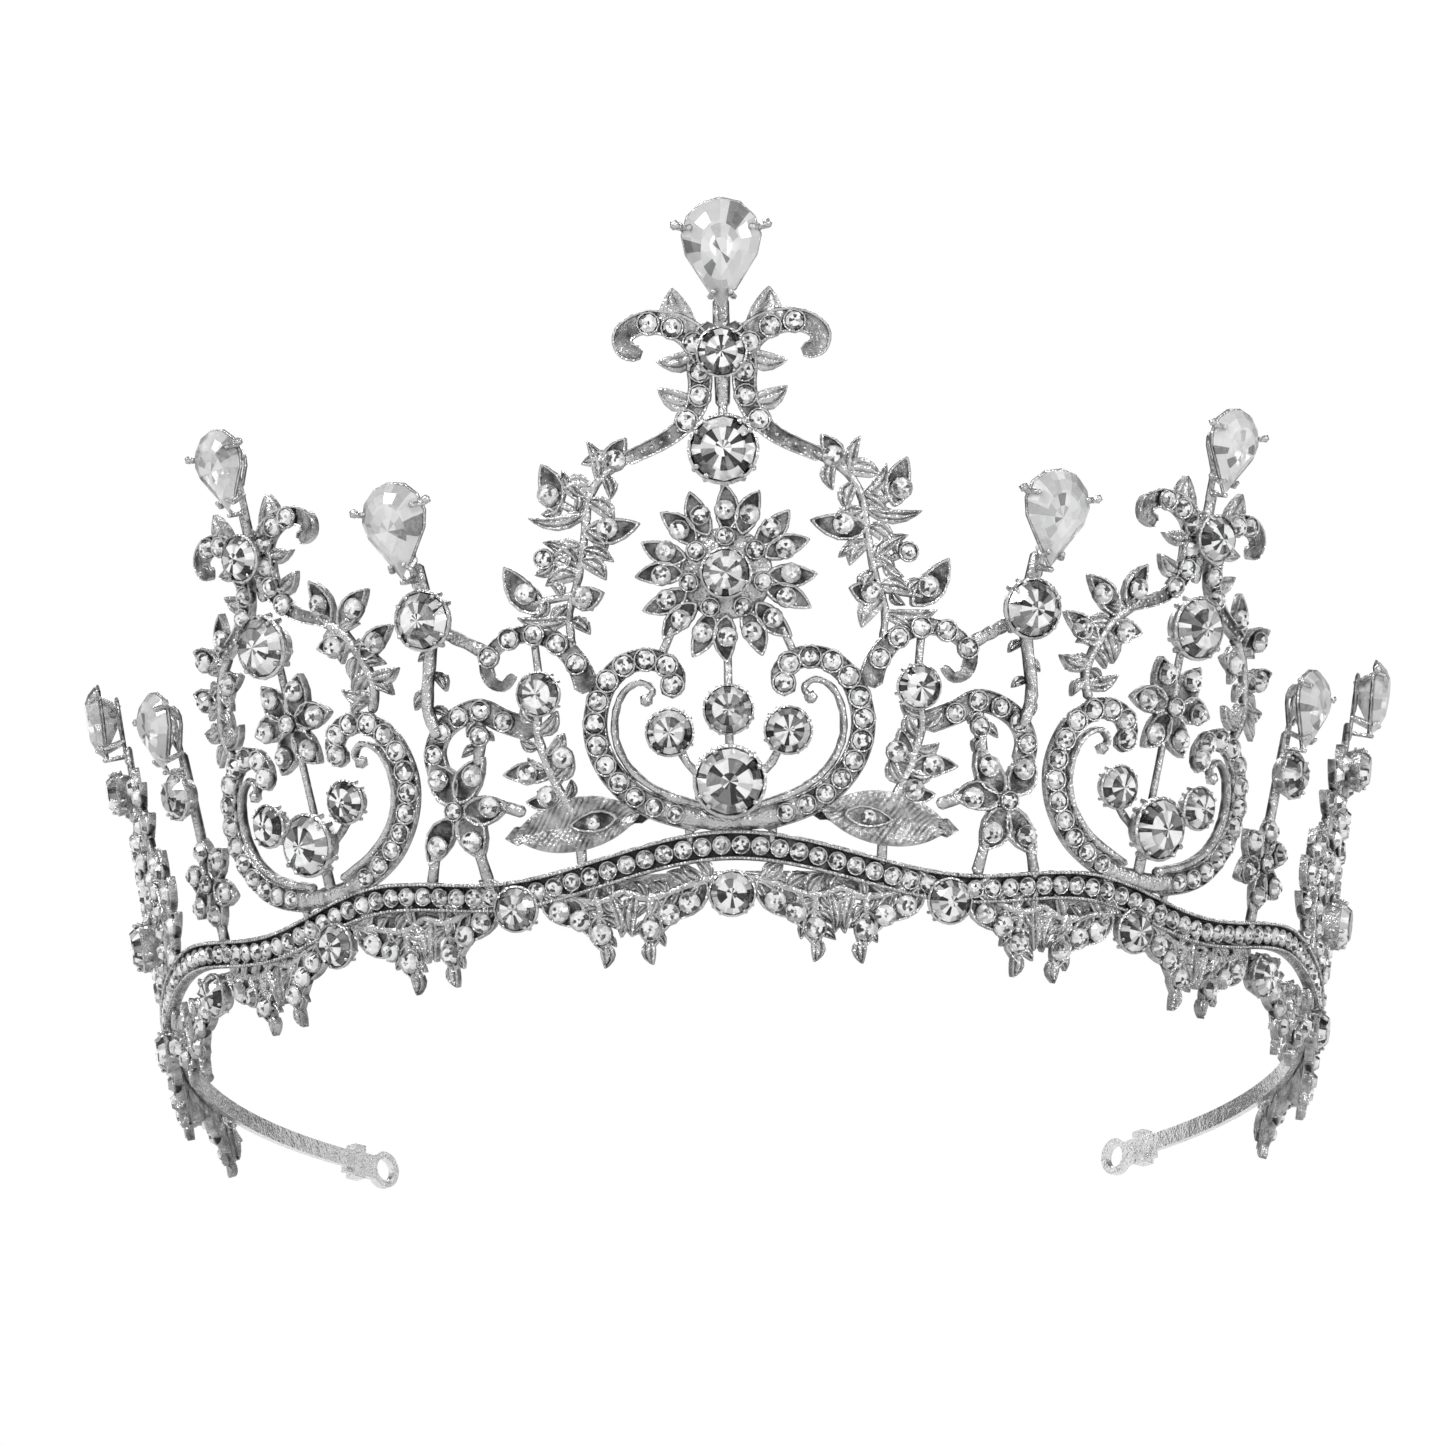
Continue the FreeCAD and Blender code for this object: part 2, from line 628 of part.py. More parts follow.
ENGRAVED_LEAF = ((9.8, 7.9), (24.0, 6.8), 6.0)
LEAF_POST = [(16.6, 5.4), (16.4, 2.6)]
TWIG = [(17.2, 8.6), (18.9, 11.4), (20.3, 14.8), (21.2, 18.0), (20.9, 20.4)]
TWIG_LEAVES = [
    ((18.9, 12.0), (18.7, 17.2), 2.2), ((19.8, 13.0), (25.0, 13.7), 2.2),
    ((18.5, 10.4), (22.4, 10.4), 1.8)]
TWIG_STONES = [(18.2, 14.8), (22.3, 13.5), (20.0, 10.7)]

DAISY_MIDDLE = (31.0, 10.6)
DAISY_PETAL = 6.2
DAISY_ANGLES = (62.0, 122.0, 182.0, 242.0, 302.0)
GARLAND = [
    (22.0, 18.4), (25.0, 19.7), (27.6, 21.2), (30.2, 20.9), (32.4, 19.6), (33.4, 17.4),
    (33.0, 15.2)]
GARLAND_STONES = [(24.9, 19.6), (27.6, 21.2), (30.2, 20.8), (32.4, 19.5), (33.4, 17.2), (27.8, 18.4)]

VALLEY_PANEL = 24.0
VALLEY_ROUND = ((0.0, 32.0), 6.2)
VALLEY_PEAR = (0.9, 42.2)
VALLEY_POST = [(-0.4, 32.0), (1.0, 27.0), (2.0, 22.6), (1.4, 19.4)]


def petals(panel, middle, reach, width, angles, start=0.8):
    """Leaves that stand round a middle point."""
    made = []
    for i, bearing in enumerate(angles):
        turn = math.radians(bearing)
        front = size("casting_depth") * (0.9 + 0.06 * (i % 2))
        base = (middle[0] + start * math.cos(turn), middle[1] + start * math.sin(turn))
        tip = (middle[0] + reach * math.cos(turn), middle[1] + reach * math.sin(turn))
        made.append(leaf(panel, base, tip, width, front=front))
    return made


def around(middle, radius, angles):
    """Places on a circle round a middle point."""
    return [(middle[0] + radius * math.cos(math.radians(bearing)),
             middle[1] + radius * math.sin(math.radians(bearing))) for bearing in angles]


def even_angles(count, first=90.0):
    return [first + i * 360.0 / count for i in range(count)]


def make_centre_panel():
    """Everything on the front panel except its rail."""
    heart_half("centre_heart_left", 0, -1)
    heart_half("centre_heart_right", 0, 1)
    group("centre_heart_stones", heart_stones(0, -1) + heart_stones(0, 1))

    spray = [ribbon(0, [(0, 24.6), (0, 9.0)], 0.9, 0.0, 0.7, steps=1)]
    for side in (-1, 1):
        spray.append(ribbon(0, mirrored(DROP_STRUT, side), 0.9, 0.0, 0.65))
    spray.append(ribbon(0, [(0, 9.4), (0, 7.4)], 1.4, 0.1, 0.8, steps=1))
    for place, diameter in DROP_JEWELS:
        spray += cup(0, place, diameter)
    casting("drop_spray", spray)
    crystals = [jewel(0, place, diameter) for place, diameter in DROP_JEWELS]

    petal_angles = even_angles(ROSETTE_PETALS)
    rosette = petals(0, ROSETTE_MIDDLE, ROSETTE_TIP, 2.4, petal_angles, 4.4)
    rosette.append(pad(0, ROSETTE_MIDDLE, 10.4, -0.1, 1.1))
    for side in (-1, 1):
        rosette.append(ribbon(0, mirrored(ROSETTE_LINK, side), 0.9, 0.15, 0.9, steps=1))
    rosette += cup(0, ROSETTE_MIDDLE, HUB_DIAMETER, 1.05)
    casting("rosette", rosette)
    stones = [stone(0, place, 1.1, 0.8) for place in around(ROSETTE_MIDDLE, 6.9, petal_angles)]
    inner = around(ROSETTE_MIDDLE, 4.1, even_angles(ROSETTE_INNER))
    stones += [stone(0, place, 1.1, 0.9) for place in inner]
    group("rosette_stones", stones)
    crystals.append(jewel(0, ROSETTE_MIDDLE, HUB_DIAMETER, 1.05))

    place, diameter = ARCH_JEWEL
    arch_stem = ribbon(0, [(0, 52.6), (0, 43.0)], 1.0, 0.0, 0.7, steps=1)
    casting("arch_cup", cup(0, place, diameter) + [arch_stem])
    crystals.append(jewel(0, place, diameter))

    place, diameter = CREST_JEWEL
    crest = [ribbon(0, [(0, 64.0), (0, 52.8)], 2.2, 0.0, 0.9, steps=1)]
    for side in (-1, 1):
        crest.append(ribbon(0, mirrored(CREST_CURL, side), 2.3, tail=0.5))
        crest.append(ribbon(0, mirrored(CREST_LEG, side), 2.4, 0.1, 1.25, tail=0.6))
        crest += [leaf(0, (side * base[0], base[1]), (side * tip[0], tip[1]), width)
                  for base, tip, width in CREST_LEAVES]
    crest += cup(0, place, diameter, 0.9)
    casting("crest_casting", crest)
    both_hands = mirrored(CREST_STONES, -1) + CREST_STONES
    group("crest_stones", [stone(0, spot, 1.25, 0.9) for spot in both_hands])
    group("centre_round_crystals", crystals + [jewel(0, place, diameter, 0.9)])
    casting("peak_pear_claws", pear_claws(0, PEAK_PEAR, 1.0, 1.0, 0))

    laurel = [ribbon(0, mirrored(LAUREL_SPINE, -1), 1.3, tail=0.8)]
    laurel += [ribbon(0, mirrored(link, -1), 0.8, 0.2, 0.95, steps=1) for link in LAUREL_LINKS]
    laurel += [leaf(0, (-base[0], base[1]), (-tip[0], tip[1]), width)
               for base, tip, width in LAUREL_LEAVES]
    laurel.append(pad(0, (-LAUREL_STONES[-1][0], LAUREL_STONES[-1][1]), 2.4))
    mirror_casting("laurel_right", casting("laurel_left", laurel))

    for side, name in ((-1, "left"), (1, "right")):
        place, diameter = SHOULDER_JEWEL
        place = (side * place[0], place[1])
        scroll = [ribbon(0, mirrored(SHOULDER_SCROLL, side), 2.4, tail=0.45),
                  ribbon(0, mirrored(SHOULDER_BAR, side), 1.4, 0.1, 1.1),
                  ribbon(0, [(side * 21.4, 28.0), (side * 20.8, 22.6)], 0.9, 0.0, 0.7, steps=1)]
        casting("shoulder_scroll_" + name, scroll + cup(0, place, diameter))

        base, tip, width = ENGRAVED_LEAF
        leaves = [leaf(0, (side * base[0], base[1]), (side * tip[0], tip[1]), width, 0.0, 1.0),
                  ribbon(0, mirrored(LEAF_POST, side), 1.2, 0.1, 0.9, steps=1),
                  ribbon(0, mirrored(TWIG, side), 1.0, 0.1, 1.1)]
        leaves += [leaf(0, (side * heel[0], heel[1]), (side * end[0], end[1]), wide)
                   for heel, end, wide in TWIG_LEAVES]
        casting("engraved_leaves_" + name, leaves)

        middle = (side * DAISY_MIDDLE[0], DAISY_MIDDLE[1])
        angles = [bearing if side > 0 else 180 - bearing for bearing in DAISY_ANGLES]
        daisy = petals(0, middle, DAISY_PETAL, 3.2, angles)
        daisy.append(pad(0, middle, 3.0))
        daisy.append(ribbon(0, mirrored(GARLAND, side), 2.2))
        daisy.append(ribbon(0, mirrored([(27.8, 20.6), (28.0, 17.2), (28.4, 15.0)], side), 1.6, 0.1, 1.1))
        daisy.append(ribbon(0, mirrored([(25.6, 10.4), (23.2, 9.4)], side), 1.4, 0.1, 1.1, steps=1))
        daisy.append(ribbon(0, mirrored([(28.6, 6.4), (27.4, 2.4)], side), 1.6, 0.1, 1.1, steps=1))
        daisy.append(ribbon(0, mirrored([(33.8, 6.4), (34.4, 3.0)], side), 1.6, 0.1, 1.1, steps=1))
        casting("daisy_" + name, daisy)

        panel = side * VALLEY_PANEL
        place, diameter = VALLEY_ROUND
        finial = cup(panel, place, diameter, 1.4)
        finial.append(ribbon(panel, mirrored(VALLEY_POST, side), 1.3, 0.9, 2.4))
        finial.append(ribbon(panel, [(0, 34.0), (side * 0.5, 38.0)], 1.4, 1.3, 2.4, steps=1))
        finial += pear_claws(panel, (side * VALLEY_PEAR[0], VALLEY_PEAR[1]), 0.9, 2.2, 0)
        casting("valley_finial_" + name, finial)


# ---------------------------------------------------------------- side panel data
SIDE_PANEL = 40.0
SIDE_DROP = 2.2
SIDE_JEWELS = [((6.1, 14.2), 4.6), ((-6.1, 14.2), 4.6), ((0.0, 10.6), 6.6)]
SIDE_STRUT = [(6.1, 15.0), (4.4, 12.0), (1.0, 9.6)]
SIDE_FLOWER = (0.0, 24.6)
SIDE_ARCH = ((0.0, 33.8), 6.6)
SIDE_CREST_JEWEL = ((0.0, 44.2), 5.0)
SIDE_PEAR = (-0.8, 54.2)
SIDE_CREST_SHIFT = 13.4
SIDE_CREST_SHARE = 0.86
SIDE_LAUREL = [(8.4, 34.4), (10.4, 32.6), (11.8, 29.6), (12.6, 26.4), (11.6, 23.6)]
SIDE_LAUREL_LEAVES = [
    ((8.8, 34.2), (7.6, 39.4), 2.3), ((10.2, 33.2), (14.6, 36.9), 2.4),
    ((11.0, 31.2), (6.6, 31.8), 2.3), ((12.0, 29.4), (16.6, 32.4), 2.2),
    ((12.4, 27.2), (16.0, 27.6), 1.8), ((12.2, 25.0), (8.6, 26.6), 1.7)]
SIDE_LAUREL_STONES = [(8.2, 36.6), (12.7, 35.2), (8.8, 31.5), (14.3, 30.9)]


def crest_place(place):
    """A crest point moved to the side panel's smaller crest."""
    across, up = place
    return (across * SIDE_CREST_SHARE, (up - 58.3) * SIDE_CREST_SHARE + 44.2)


def make_side_panels():
    """The two side panels: heart, spray with flower, crest with laurels and pear point."""
    heart_set, spray_set, small_set = [], [], []
    for side, name in ((-1, "left"), (1, "right")):
        panel = side * SIDE_PANEL
        heart_half("side_heart_inner_" + name, panel, -side, SIDE_DROP, 0.97)
        heart_half("side_heart_outer_" + name, panel, side, SIDE_DROP, 0.97)
        heart_set += heart_stones(panel, -1, SIDE_DROP, 0.97) + heart_stones(panel, 1, SIDE_DROP, 0.97)

        spray = [ribbon(panel, [(0, 36.0), (0, 8.8)], 0.9, 0.0, 0.7, steps=1),
                 ribbon(panel, [(0, 9.0), (0, 5.2)], 1.4, 0.1, 0.8, steps=1),
                 pad(panel, SIDE_FLOWER, 3.0)]
        for hand in (-1, 1):
            spray.append(ribbon(panel, mirrored(SIDE_STRUT, hand), 0.9, 0.0, 0.65))
        for place, diameter in SIDE_JEWELS + [SIDE_ARCH]:
            spray += cup(panel, place, diameter)
            spray_set.append(jewel(panel, place, diameter))
        spray += petals(panel, SIDE_FLOWER, 5.9, 3.0, even_angles(6, 60.0))
        casting("side_spray_" + name, spray)
        flower = around(SIDE_FLOWER, 4.1, even_angles(6, 60.0)) + [SIDE_FLOWER]
        small_set += [stone(panel, place) for place in flower]

        place, diameter = SIDE_CREST_JEWEL
        crest = [ribbon(panel, [(0, 49.2), (0, 37.0)], 2.0, 0.0, 0.9, steps=1)]
        for hand in (-1, 1):
            curl = [crest_place(spot) for spot in mirrored(CREST_CURL, hand)]
            leg = [crest_place(spot) for spot in mirrored(CREST_LEG, hand)]
            crest.append(ribbon(panel, curl, 2.0, tail=0.5))
            crest.append(ribbon(panel, leg, 2.2, 0.1, 1.25, tail=0.6))
            for base, tip, width in CREST_LEAVES:
                crest.append(leaf(panel, crest_place((hand * base[0], base[1])),
                                  crest_place((hand * tip[0], tip[1])), width * SIDE_CREST_SHARE))
            crest.append(ribbon(panel, mirrored(SIDE_LAUREL, hand), 1.3, tail=0.8))
            crest += [leaf(panel, (hand * base[0], base[1]), (hand * tip[0], tip[1]), width)
                      for base, tip, width in SIDE_LAUREL_LEAVES]
            small_set += [stone(panel, crest_place(spot), 1.25, 0.8)
                          for spot in mirrored(CREST_STONES, hand)]
            small_set += [stone(panel, spot, 1.1, 0.8) for spot in mirrored(SIDE_LAUREL_STONES, hand)]
        crest += cup(panel, place, diameter, 0.9)
        spray_set.append(jewel(panel, place, diameter, 0.9))
        crest += pear_claws(panel, (side * SIDE_PEAR[0], SIDE_PEAR[1]), 0.8, 1.0, 0)
        casting("side_crest_" + name, crest)
    group("side_heart_stones", heart_set)
    group("side_crystals", spray_set)
    group("side_stones", small_set)


# ---------------------------------------------------------------- end panel data
BACK_VALLEY_PANEL = 57.5
BACK_ROUND = ((0.0, 22.2), 5.0)
BACK_PEAR = (0.0, 30.2)
BACK_DAISY = (0.0, 11.4)
END_PANEL = 81.0
END_ROUND = ((0.0, 32.6), 5.0)
END_PEAR = (0.0, 42.0)
END_FLOWER = (0.0, 22.4)
END_SCROLL = [
    (0.0, 6.6), (4.0, 7.2), (7.2, 9.6), (8.8, 13.0), (8.6, 16.8), (6.4, 19.2), (3.9, 18.4),
    (4.2, 16.4)]
END_JEWEL = ((0.0, 12.6), 5.6)
END_LAUREL = [(1.0, 30.4), (4.6, 28.8), (7.6, 25.6), (9.0, 21.4), (8.6, 17.4)]
END_LAUREL_LEAVES = [
    ((3.4, 29.2), (5.4, 33.6), 2.2), ((5.6, 27.8), (10.2, 30.0), 2.2),
    ((7.4, 25.4), (3.8, 27.0), 1.9), ((8.0, 24.0), (12.6, 25.2), 2.2),
    ((9.0, 20.8), (12.8, 20.2), 1.9)]
END_STONES = [(4.5, 31.6), (8.2, 29.0), (10.6, 24.7), (5.6, 26.3)]
END_BRANCH = [(7.6, 6.2), (10.6, 7.4), (12.8, 10.4), (13.0, 14.2), (11.6, 17.6)]
END_BRANCH_LEAVES = [
    ((10.2, 7.2), (14.2, 6.4), 2.2), ((12.2, 9.4), (16.4, 11.4), 2.3),
    ((13.0, 12.6), (16.2, 16.0), 2.2), ((12.8, 14.6), (14.6, 19.8), 2.3),
    ((12.0, 16.6), (11.0, 21.4), 2.2), ((12.8, 11.6), (10.2, 13.4), 1.8)]
END_BRANCH_STONES = [(12.4, 6.8), (14.4, 10.4), (14.7, 14.4), (13.8, 17.4), (11.5, 19.1)]
TAIL_PANEL = 98.0
TAIL_SPINE = [(-5.6, 6.2), (-2.0, 6.6), (1.4, 5.4), (5.0, 2.8), (9.4, -1.4)]
TAIL_LEAVES = [
    ((-4.4, 6.4), (-3.4, 11.6), 2.5), ((-1.0, 6.2), (1.6, 10.6), 2.5),
    ((1.6, 5.2), (5.8, 7.6), 2.3), ((4.4, 3.4), (9.0, 4.4), 2.2), ((7.4, 0.8), (12.0, -0.6), 2.1),
    ((7.8, 0.0), (9.4, -5.0), 2.1), ((-3.0, 6.0), (-1.6, 2.6), 2.0)]
TAIL_STONES = [(-3.9, 9.0), (0.3, 8.4), (3.7, 6.4), (6.7, 3.9), (9.7, 0.1), (8.6, -2.5)]


def make_end_panels():
    """The two panels beside the ears, with the low finials in front of them."""
    crystals, stones = [], []
    for side, name in ((-1, "left"), (1, "right")):
        valley, panel, tail_panel = side * BACK_VALLEY_PANEL, side * END_PANEL, side * TAIL_PANEL
        place, diameter = BACK_ROUND
        finial = cup(valley, place, diameter, 0.9)
        finial += petals(valley, BACK_DAISY, 5.6, 3.0, even_angles(6, 90.0))
        finial.append(pad(valley, BACK_DAISY, 3.0))
        finial.append(ribbon(valley, [(0, 15.8), (0, 27.0)], 1.4, 0.2, 1.3, steps=1))
        finial.append(ribbon(valley, [(0, 7.4), (0, 4.0)], 1.6, 0.2, 1.1, steps=1))
        finial += pear_claws(valley, BACK_PEAR, 0.78, 1.0, 0)
        casting("back_finial_" + name, finial)
        crystals.append(jewel(valley, place, diameter, 0.9))
        flower = around(BACK_DAISY, 3.9, even_angles(6, 90.0)) + [BACK_DAISY]
        stones += [stone(valley, spot) for spot in flower]

        place, diameter = END_ROUND
        end = [ribbon(panel, [(0, 38.0), (0, 6.4)], 1.3, 0.0, 0.9, steps=1)]
        for hand in (-1, 1):
            end.append(ribbon(panel, mirrored(END_SCROLL, hand), 2.4, tail=0.5))
            end.append(ribbon(panel, mirrored(END_LAUREL, hand), 1.3, 0.1, 1.15, tail=0.8))
            end.append(ribbon(panel, mirrored(END_BRANCH, hand), 1.3, 0.1, 1.1, tail=0.8))
            end += [leaf(panel, (hand * base[0], base[1]), (hand * tip[0], tip[1]), width)
                    for base, tip, width in END_LAUREL_LEAVES + END_BRANCH_LEAVES]
            band = mirrored(END_SCROLL, hand)
            stones += [stone(panel, spot, size("casting_depth")) for spot in spaced(band, 9, 0.12, 0.97)]
            stones += [stone(panel, spot, 1.1, 0.8)
                       for spot in mirrored(END_STONES + END_BRANCH_STONES, hand)]
        end += petals(panel, END_FLOWER, 4.6, 2.4, even_angles(6, 60.0))
        end.append(pad(panel, END_FLOWER, 3.0))
        stones += [stone(panel, spot, scale=0.9)
                   for spot in around(END_FLOWER, 3.2, even_angles(6, 60.0)) + [END_FLOWER]]
        end += cup(panel, place, diameter, 0.9) + cup(panel, END_JEWEL[0], END_JEWEL[1], 0.6)
        end += pear_claws(panel, END_PEAR, 0.78, 1.0, 0)
        casting("end_panel_" + name, end)
        crystals += [jewel(panel, place, diameter, 0.9), jewel(panel, END_JEWEL[0], END_JEWEL[1], 0.6)]

        tail = [ribbon(tail_panel, mirrored(TAIL_SPINE, side), 1.6, tail=0.7)]
        tail += [leaf(tail_panel, (side * base[0], base[1]), (side * tip[0], tip[1]), width)
                 for base, tip, width in TAIL_LEAVES]
        casting("tail_leaves_" + name, tail)
        stones += [stone(tail_panel, spot, 1.1, 0.8) for spot in mirrored(TAIL_STONES, side)]
    group("end_crystals", crystals)
    group("end_stones", stones)


def make_pears():
    """The nine pear crystals, which differ only in size."""
    group("peak_pear_crystal", [pear_crystal(0, PEAK_PEAR, 1.0, 1.0, 0)])
    others = []
    for side in (-1, 1):
        valley_place = (side * VALLEY_PEAR[0], VALLEY_PEAR[1])
        side_place = (side * SIDE_PEAR[0], SIDE_PEAR[1])
        others.append(pear_crystal(side * VALLEY_PANEL, valley_place, 0.9, 2.2, 0))
        others.append(pear_crystal(side * SIDE_PANEL, side_place, 0.8, 1.0, 0))
        others.append(pear_crystal(side * BACK_VALLEY_PANEL, BACK_PEAR, 0.78, 1.0, 0))
        others.append(pear_crystal(side * END_PANEL, END_PEAR, 0.78, 1.0, 0))
    group("pear_crystals", others)


# ---------------------------------------------------------------- gallery under the rail
GALLERY_PITCH = 20.0
GALLERY_VINE = [(0.0, 0.6), (3.4, 0.2), (6.8, -1.0), (9.4, -1.4), (11.7, -0.5)]
GALLERY_LEAVES = [
    ((2.8, 0.0), (6.0, -3.8), 2.0), ((5.4, -0.6), (7.6, -5.2), 1.9), ((3.2, 0.4), (5.4, 2.2), 1.6),
    ((10.4, -0.9), (10.9, -5.4), 1.6)]
GALLERY_HANGER = ((8.8, -1.2), (8.9, -9.0), 2.0)
GALLERY_STONES = [(4.6, -2.1), (6.8, -3.3), (8.9, -5.0)]
GALLERY_CUP = ((0.0, -1.2), 4.7)


def gallery_swag(panel):
    """One swag of the gallery: a round cup with a leafy vine to each side."""
    elements = cup(panel, *GALLERY_CUP)
    elements.append(ribbon(panel, mirrored(GALLERY_VINE[:0:-1], -1) + GALLERY_VINE, 1.3, 0.15, 0.95))
    (base_across, base_up), (tip_across, tip_up), width = GALLERY_HANGER
    level_tip = tip_up * math.cos(lean_at(0)) / math.cos(lean_at(panel))
    for hand in (-1, 1):
        elements += [leaf(panel, (hand * base[0], base[1]), (hand * tip[0], tip[1]), wide)
                     for base, tip, wide in GALLERY_LEAVES]
        hanger_base = (hand * base_across, base_up)
        elements.append(leaf(panel, hanger_base, (hand * tip_across, level_tip), width, 0.15))
    return elements


def make_gallery():
    """One centre swag and five swags to each side, with their crystals and stones."""
    crystals, stones = [], []
    pieces = (
        ("gallery_centre", [0]),
        ("gallery_left", [-1, -2, -3, -4, -5]),
        ("gallery_right", [1, 2, 3, 4, 5]))
    for label, swags in pieces:
        castings = []
        for swag in swags:
            panel = swag * GALLERY_PITCH
            castings.append(melted(gallery_swag(panel)))
            crystals.append(jewel(panel, *GALLERY_CUP))
            stones += [stone(panel, place, 1.1, 0.8)
                       for place in GALLERY_STONES + mirrored(GALLERY_STONES, -1)]
        group(label, castings)
    group("gallery_crystals", crystals)
    group("gallery_stones", stones)


# ---------------------------------------------------------------- build
make_hoop()
make_end_loop(-1, "end_loop_left")
make_end_loop(1, "end_loop_right")
rail("centre_rail", -CENTRE_RAIL_END, CENTRE_RAIL_END)
rail("left_rail", -SIDE_RAIL_END, -CENTRE_RAIL_END - 0.2)
rail("right_rail", CENTRE_RAIL_END + 0.2, SIDE_RAIL_END)
group("rail_stones", [stone(angle, (0.0, rail_height(angle)), size("rail_floor"))
                      for angle in rail_stone_places()])
make_centre_panel()
group("leaf_stones", [stone(0, place, 1.1, 0.85) for side in (-1, 1)
                      for place in mirrored(LAUREL_STONES[:-1] + TWIG_STONES, side)]
      + [stone(0, place, scale=0.9) for place in mirrored(LAUREL_STONES[-1:], -1) + LAUREL_STONES[-1:]]
      + [stone(0, (side * 14.9, 7.3), 1.0, 0.9) for side in (-1, 1)])
group("shoulder_stones", [stone(0, place, size("casting_depth")) for side in (-1, 1)
                          for place in mirrored(SHOULDER_STONES, side)])
shoulder_place, shoulder_diameter = SHOULDER_JEWEL
group("shoulder_crystals", [jewel(0, place, shoulder_diameter)
                            for side in (-1, 1) for place in mirrored([shoulder_place], side)])
daisy_stones = []
for side in (-1, 1):
    middle = (side * DAISY_MIDDLE[0], DAISY_MIDDLE[1])
    angles = [bearing if side > 0 else 180 - bearing for bearing in DAISY_ANGLES]
    daisy_stones += [stone(0, place) for place in around(middle, 4.3, angles) + [middle]]
    daisy_stones += [stone(0, place, size("casting_depth")) for place in mirrored(GARLAND_STONES, side)]
group("daisy_stones", daisy_stones)
group("valley_round_crystals", [jewel(side * VALLEY_PANEL, VALLEY_ROUND[0], VALLEY_ROUND[1], 1.4)
                                for side in (-1, 1)])
make_side_panels()
make_end_panels()
make_pears()
make_gallery()
doc.recompute()

# ---------------------------------------------------------------- check and export
for obj in doc.Objects:
    if any(flag in obj.State for flag in ("Invalid", "Error")):
        raise RuntimeError("failed object: " + obj.Label)
os.makedirs("parts", exist_ok=True)
whole = FreeCAD.BoundBox()
for obj in nodes:
    if obj.Shape.isNull() or not obj.Shape.isValid():
        raise RuntimeError("bad shape: " + obj.Label)
    if any(solid.Volume <= 0 for solid in obj.Shape.Solids):
        raise RuntimeError("inside-out solid: " + obj.Label)
    whole.add(obj.Shape.BoundBox)
    print("%-24s solids %3d  volume %8.1f" % (obj.Label, len(obj.Shape.Solids), obj.Shape.Volume))
    obj.Shape.exportStep("parts/%s.step" % obj.Label)
print("nodes %d  x %.2f..%.2f  y %.2f..%.2f  z %.2f..%.2f" % (
    len(nodes), whole.XMin, whole.XMax, whole.YMin, whole.YMax, whole.ZMin, whole.ZMax))
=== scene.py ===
"""Bridal tiara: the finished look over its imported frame.

The ornament is worked flat in millimetres, across, up and out, and then bent to the leaning sheet that
the castings lie on. Everything else is in metres, in the frame's own axes.
"""

import logging
import math
import random
from dataclasses import dataclass, field
from enum import Enum
from typing import Dict, List, Sequence, Tuple

import bmesh
import bpy
from mathutils import Matrix, Vector

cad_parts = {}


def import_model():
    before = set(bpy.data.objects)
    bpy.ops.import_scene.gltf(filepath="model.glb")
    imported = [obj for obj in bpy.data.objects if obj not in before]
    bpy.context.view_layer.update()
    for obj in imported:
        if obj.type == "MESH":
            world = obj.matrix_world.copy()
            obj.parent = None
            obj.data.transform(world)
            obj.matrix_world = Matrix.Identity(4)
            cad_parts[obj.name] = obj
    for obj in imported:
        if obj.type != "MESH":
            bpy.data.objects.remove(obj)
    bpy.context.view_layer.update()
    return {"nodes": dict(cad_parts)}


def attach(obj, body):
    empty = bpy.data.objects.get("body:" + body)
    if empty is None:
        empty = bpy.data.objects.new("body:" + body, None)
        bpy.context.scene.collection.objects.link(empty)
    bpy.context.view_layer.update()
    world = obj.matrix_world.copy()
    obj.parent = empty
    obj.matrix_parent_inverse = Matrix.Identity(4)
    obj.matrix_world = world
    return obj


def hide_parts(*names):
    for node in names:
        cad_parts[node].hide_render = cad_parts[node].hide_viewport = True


LOG = logging.getLogger("tiara")
MM = 0.001

HANDS = ((-1, "left"), (1, "right"))
SHARP_EDGE = math.radians(48.0)

Spot = Tuple[float, float]
LeafSize = Tuple[Spot, Spot, float]


class LeafKind(Enum):
    """What the face of a leaf carries."""

    STONE = "a sunk floor for a stone"
    PLAIN = "a raised vein"


class BarProfile(Enum):
    """Cross-sections of a swept bar, as (sideways, outward, recess) with both spans from -1 to 1; recess is painted
    darkness, patina plus painted shade, darkest at the back and in the seats.
    """

    ROUND = ((-1.0, -0.3, 0.95), (-0.7, -1.0, 0.7), (0.7, -1.0, 0.7), (1.0, -0.3, 0.95),
             (0.85, 0.55, 0.35), (0.4, 1.0, 0.0), (-0.4, 1.0, 0.0), (-0.85, 0.55, 0.35))
    SEAT = ((-1.0, -0.3, 0.6), (-0.7, -1.0, 0.6), (0.7, -1.0, 0.6), (1.0, -0.3, 0.5), (1.0, 0.7, 0.2),
            (0.88, 1.0, 0.0), (0.76, 0.6, 0.62), (-0.76, 0.6, 0.62), (-0.88, 1.0, 0.0), (-1.0, 0.7, 0.2))
    TROUGH = ((-0.9, -1.0, 0.5), (0.9, -1.0, 0.5), (1.0, 0.6, 0.15), (0.9, 1.0, 0.0), (0.76, 0.9, 0.0),
              (0.68, 0.3, 0.6), (-0.68, 0.3, 0.6), (-0.76, 0.9, 0.0), (-0.9, 1.0, 0.0), (-1.0, 0.6, 0.3))


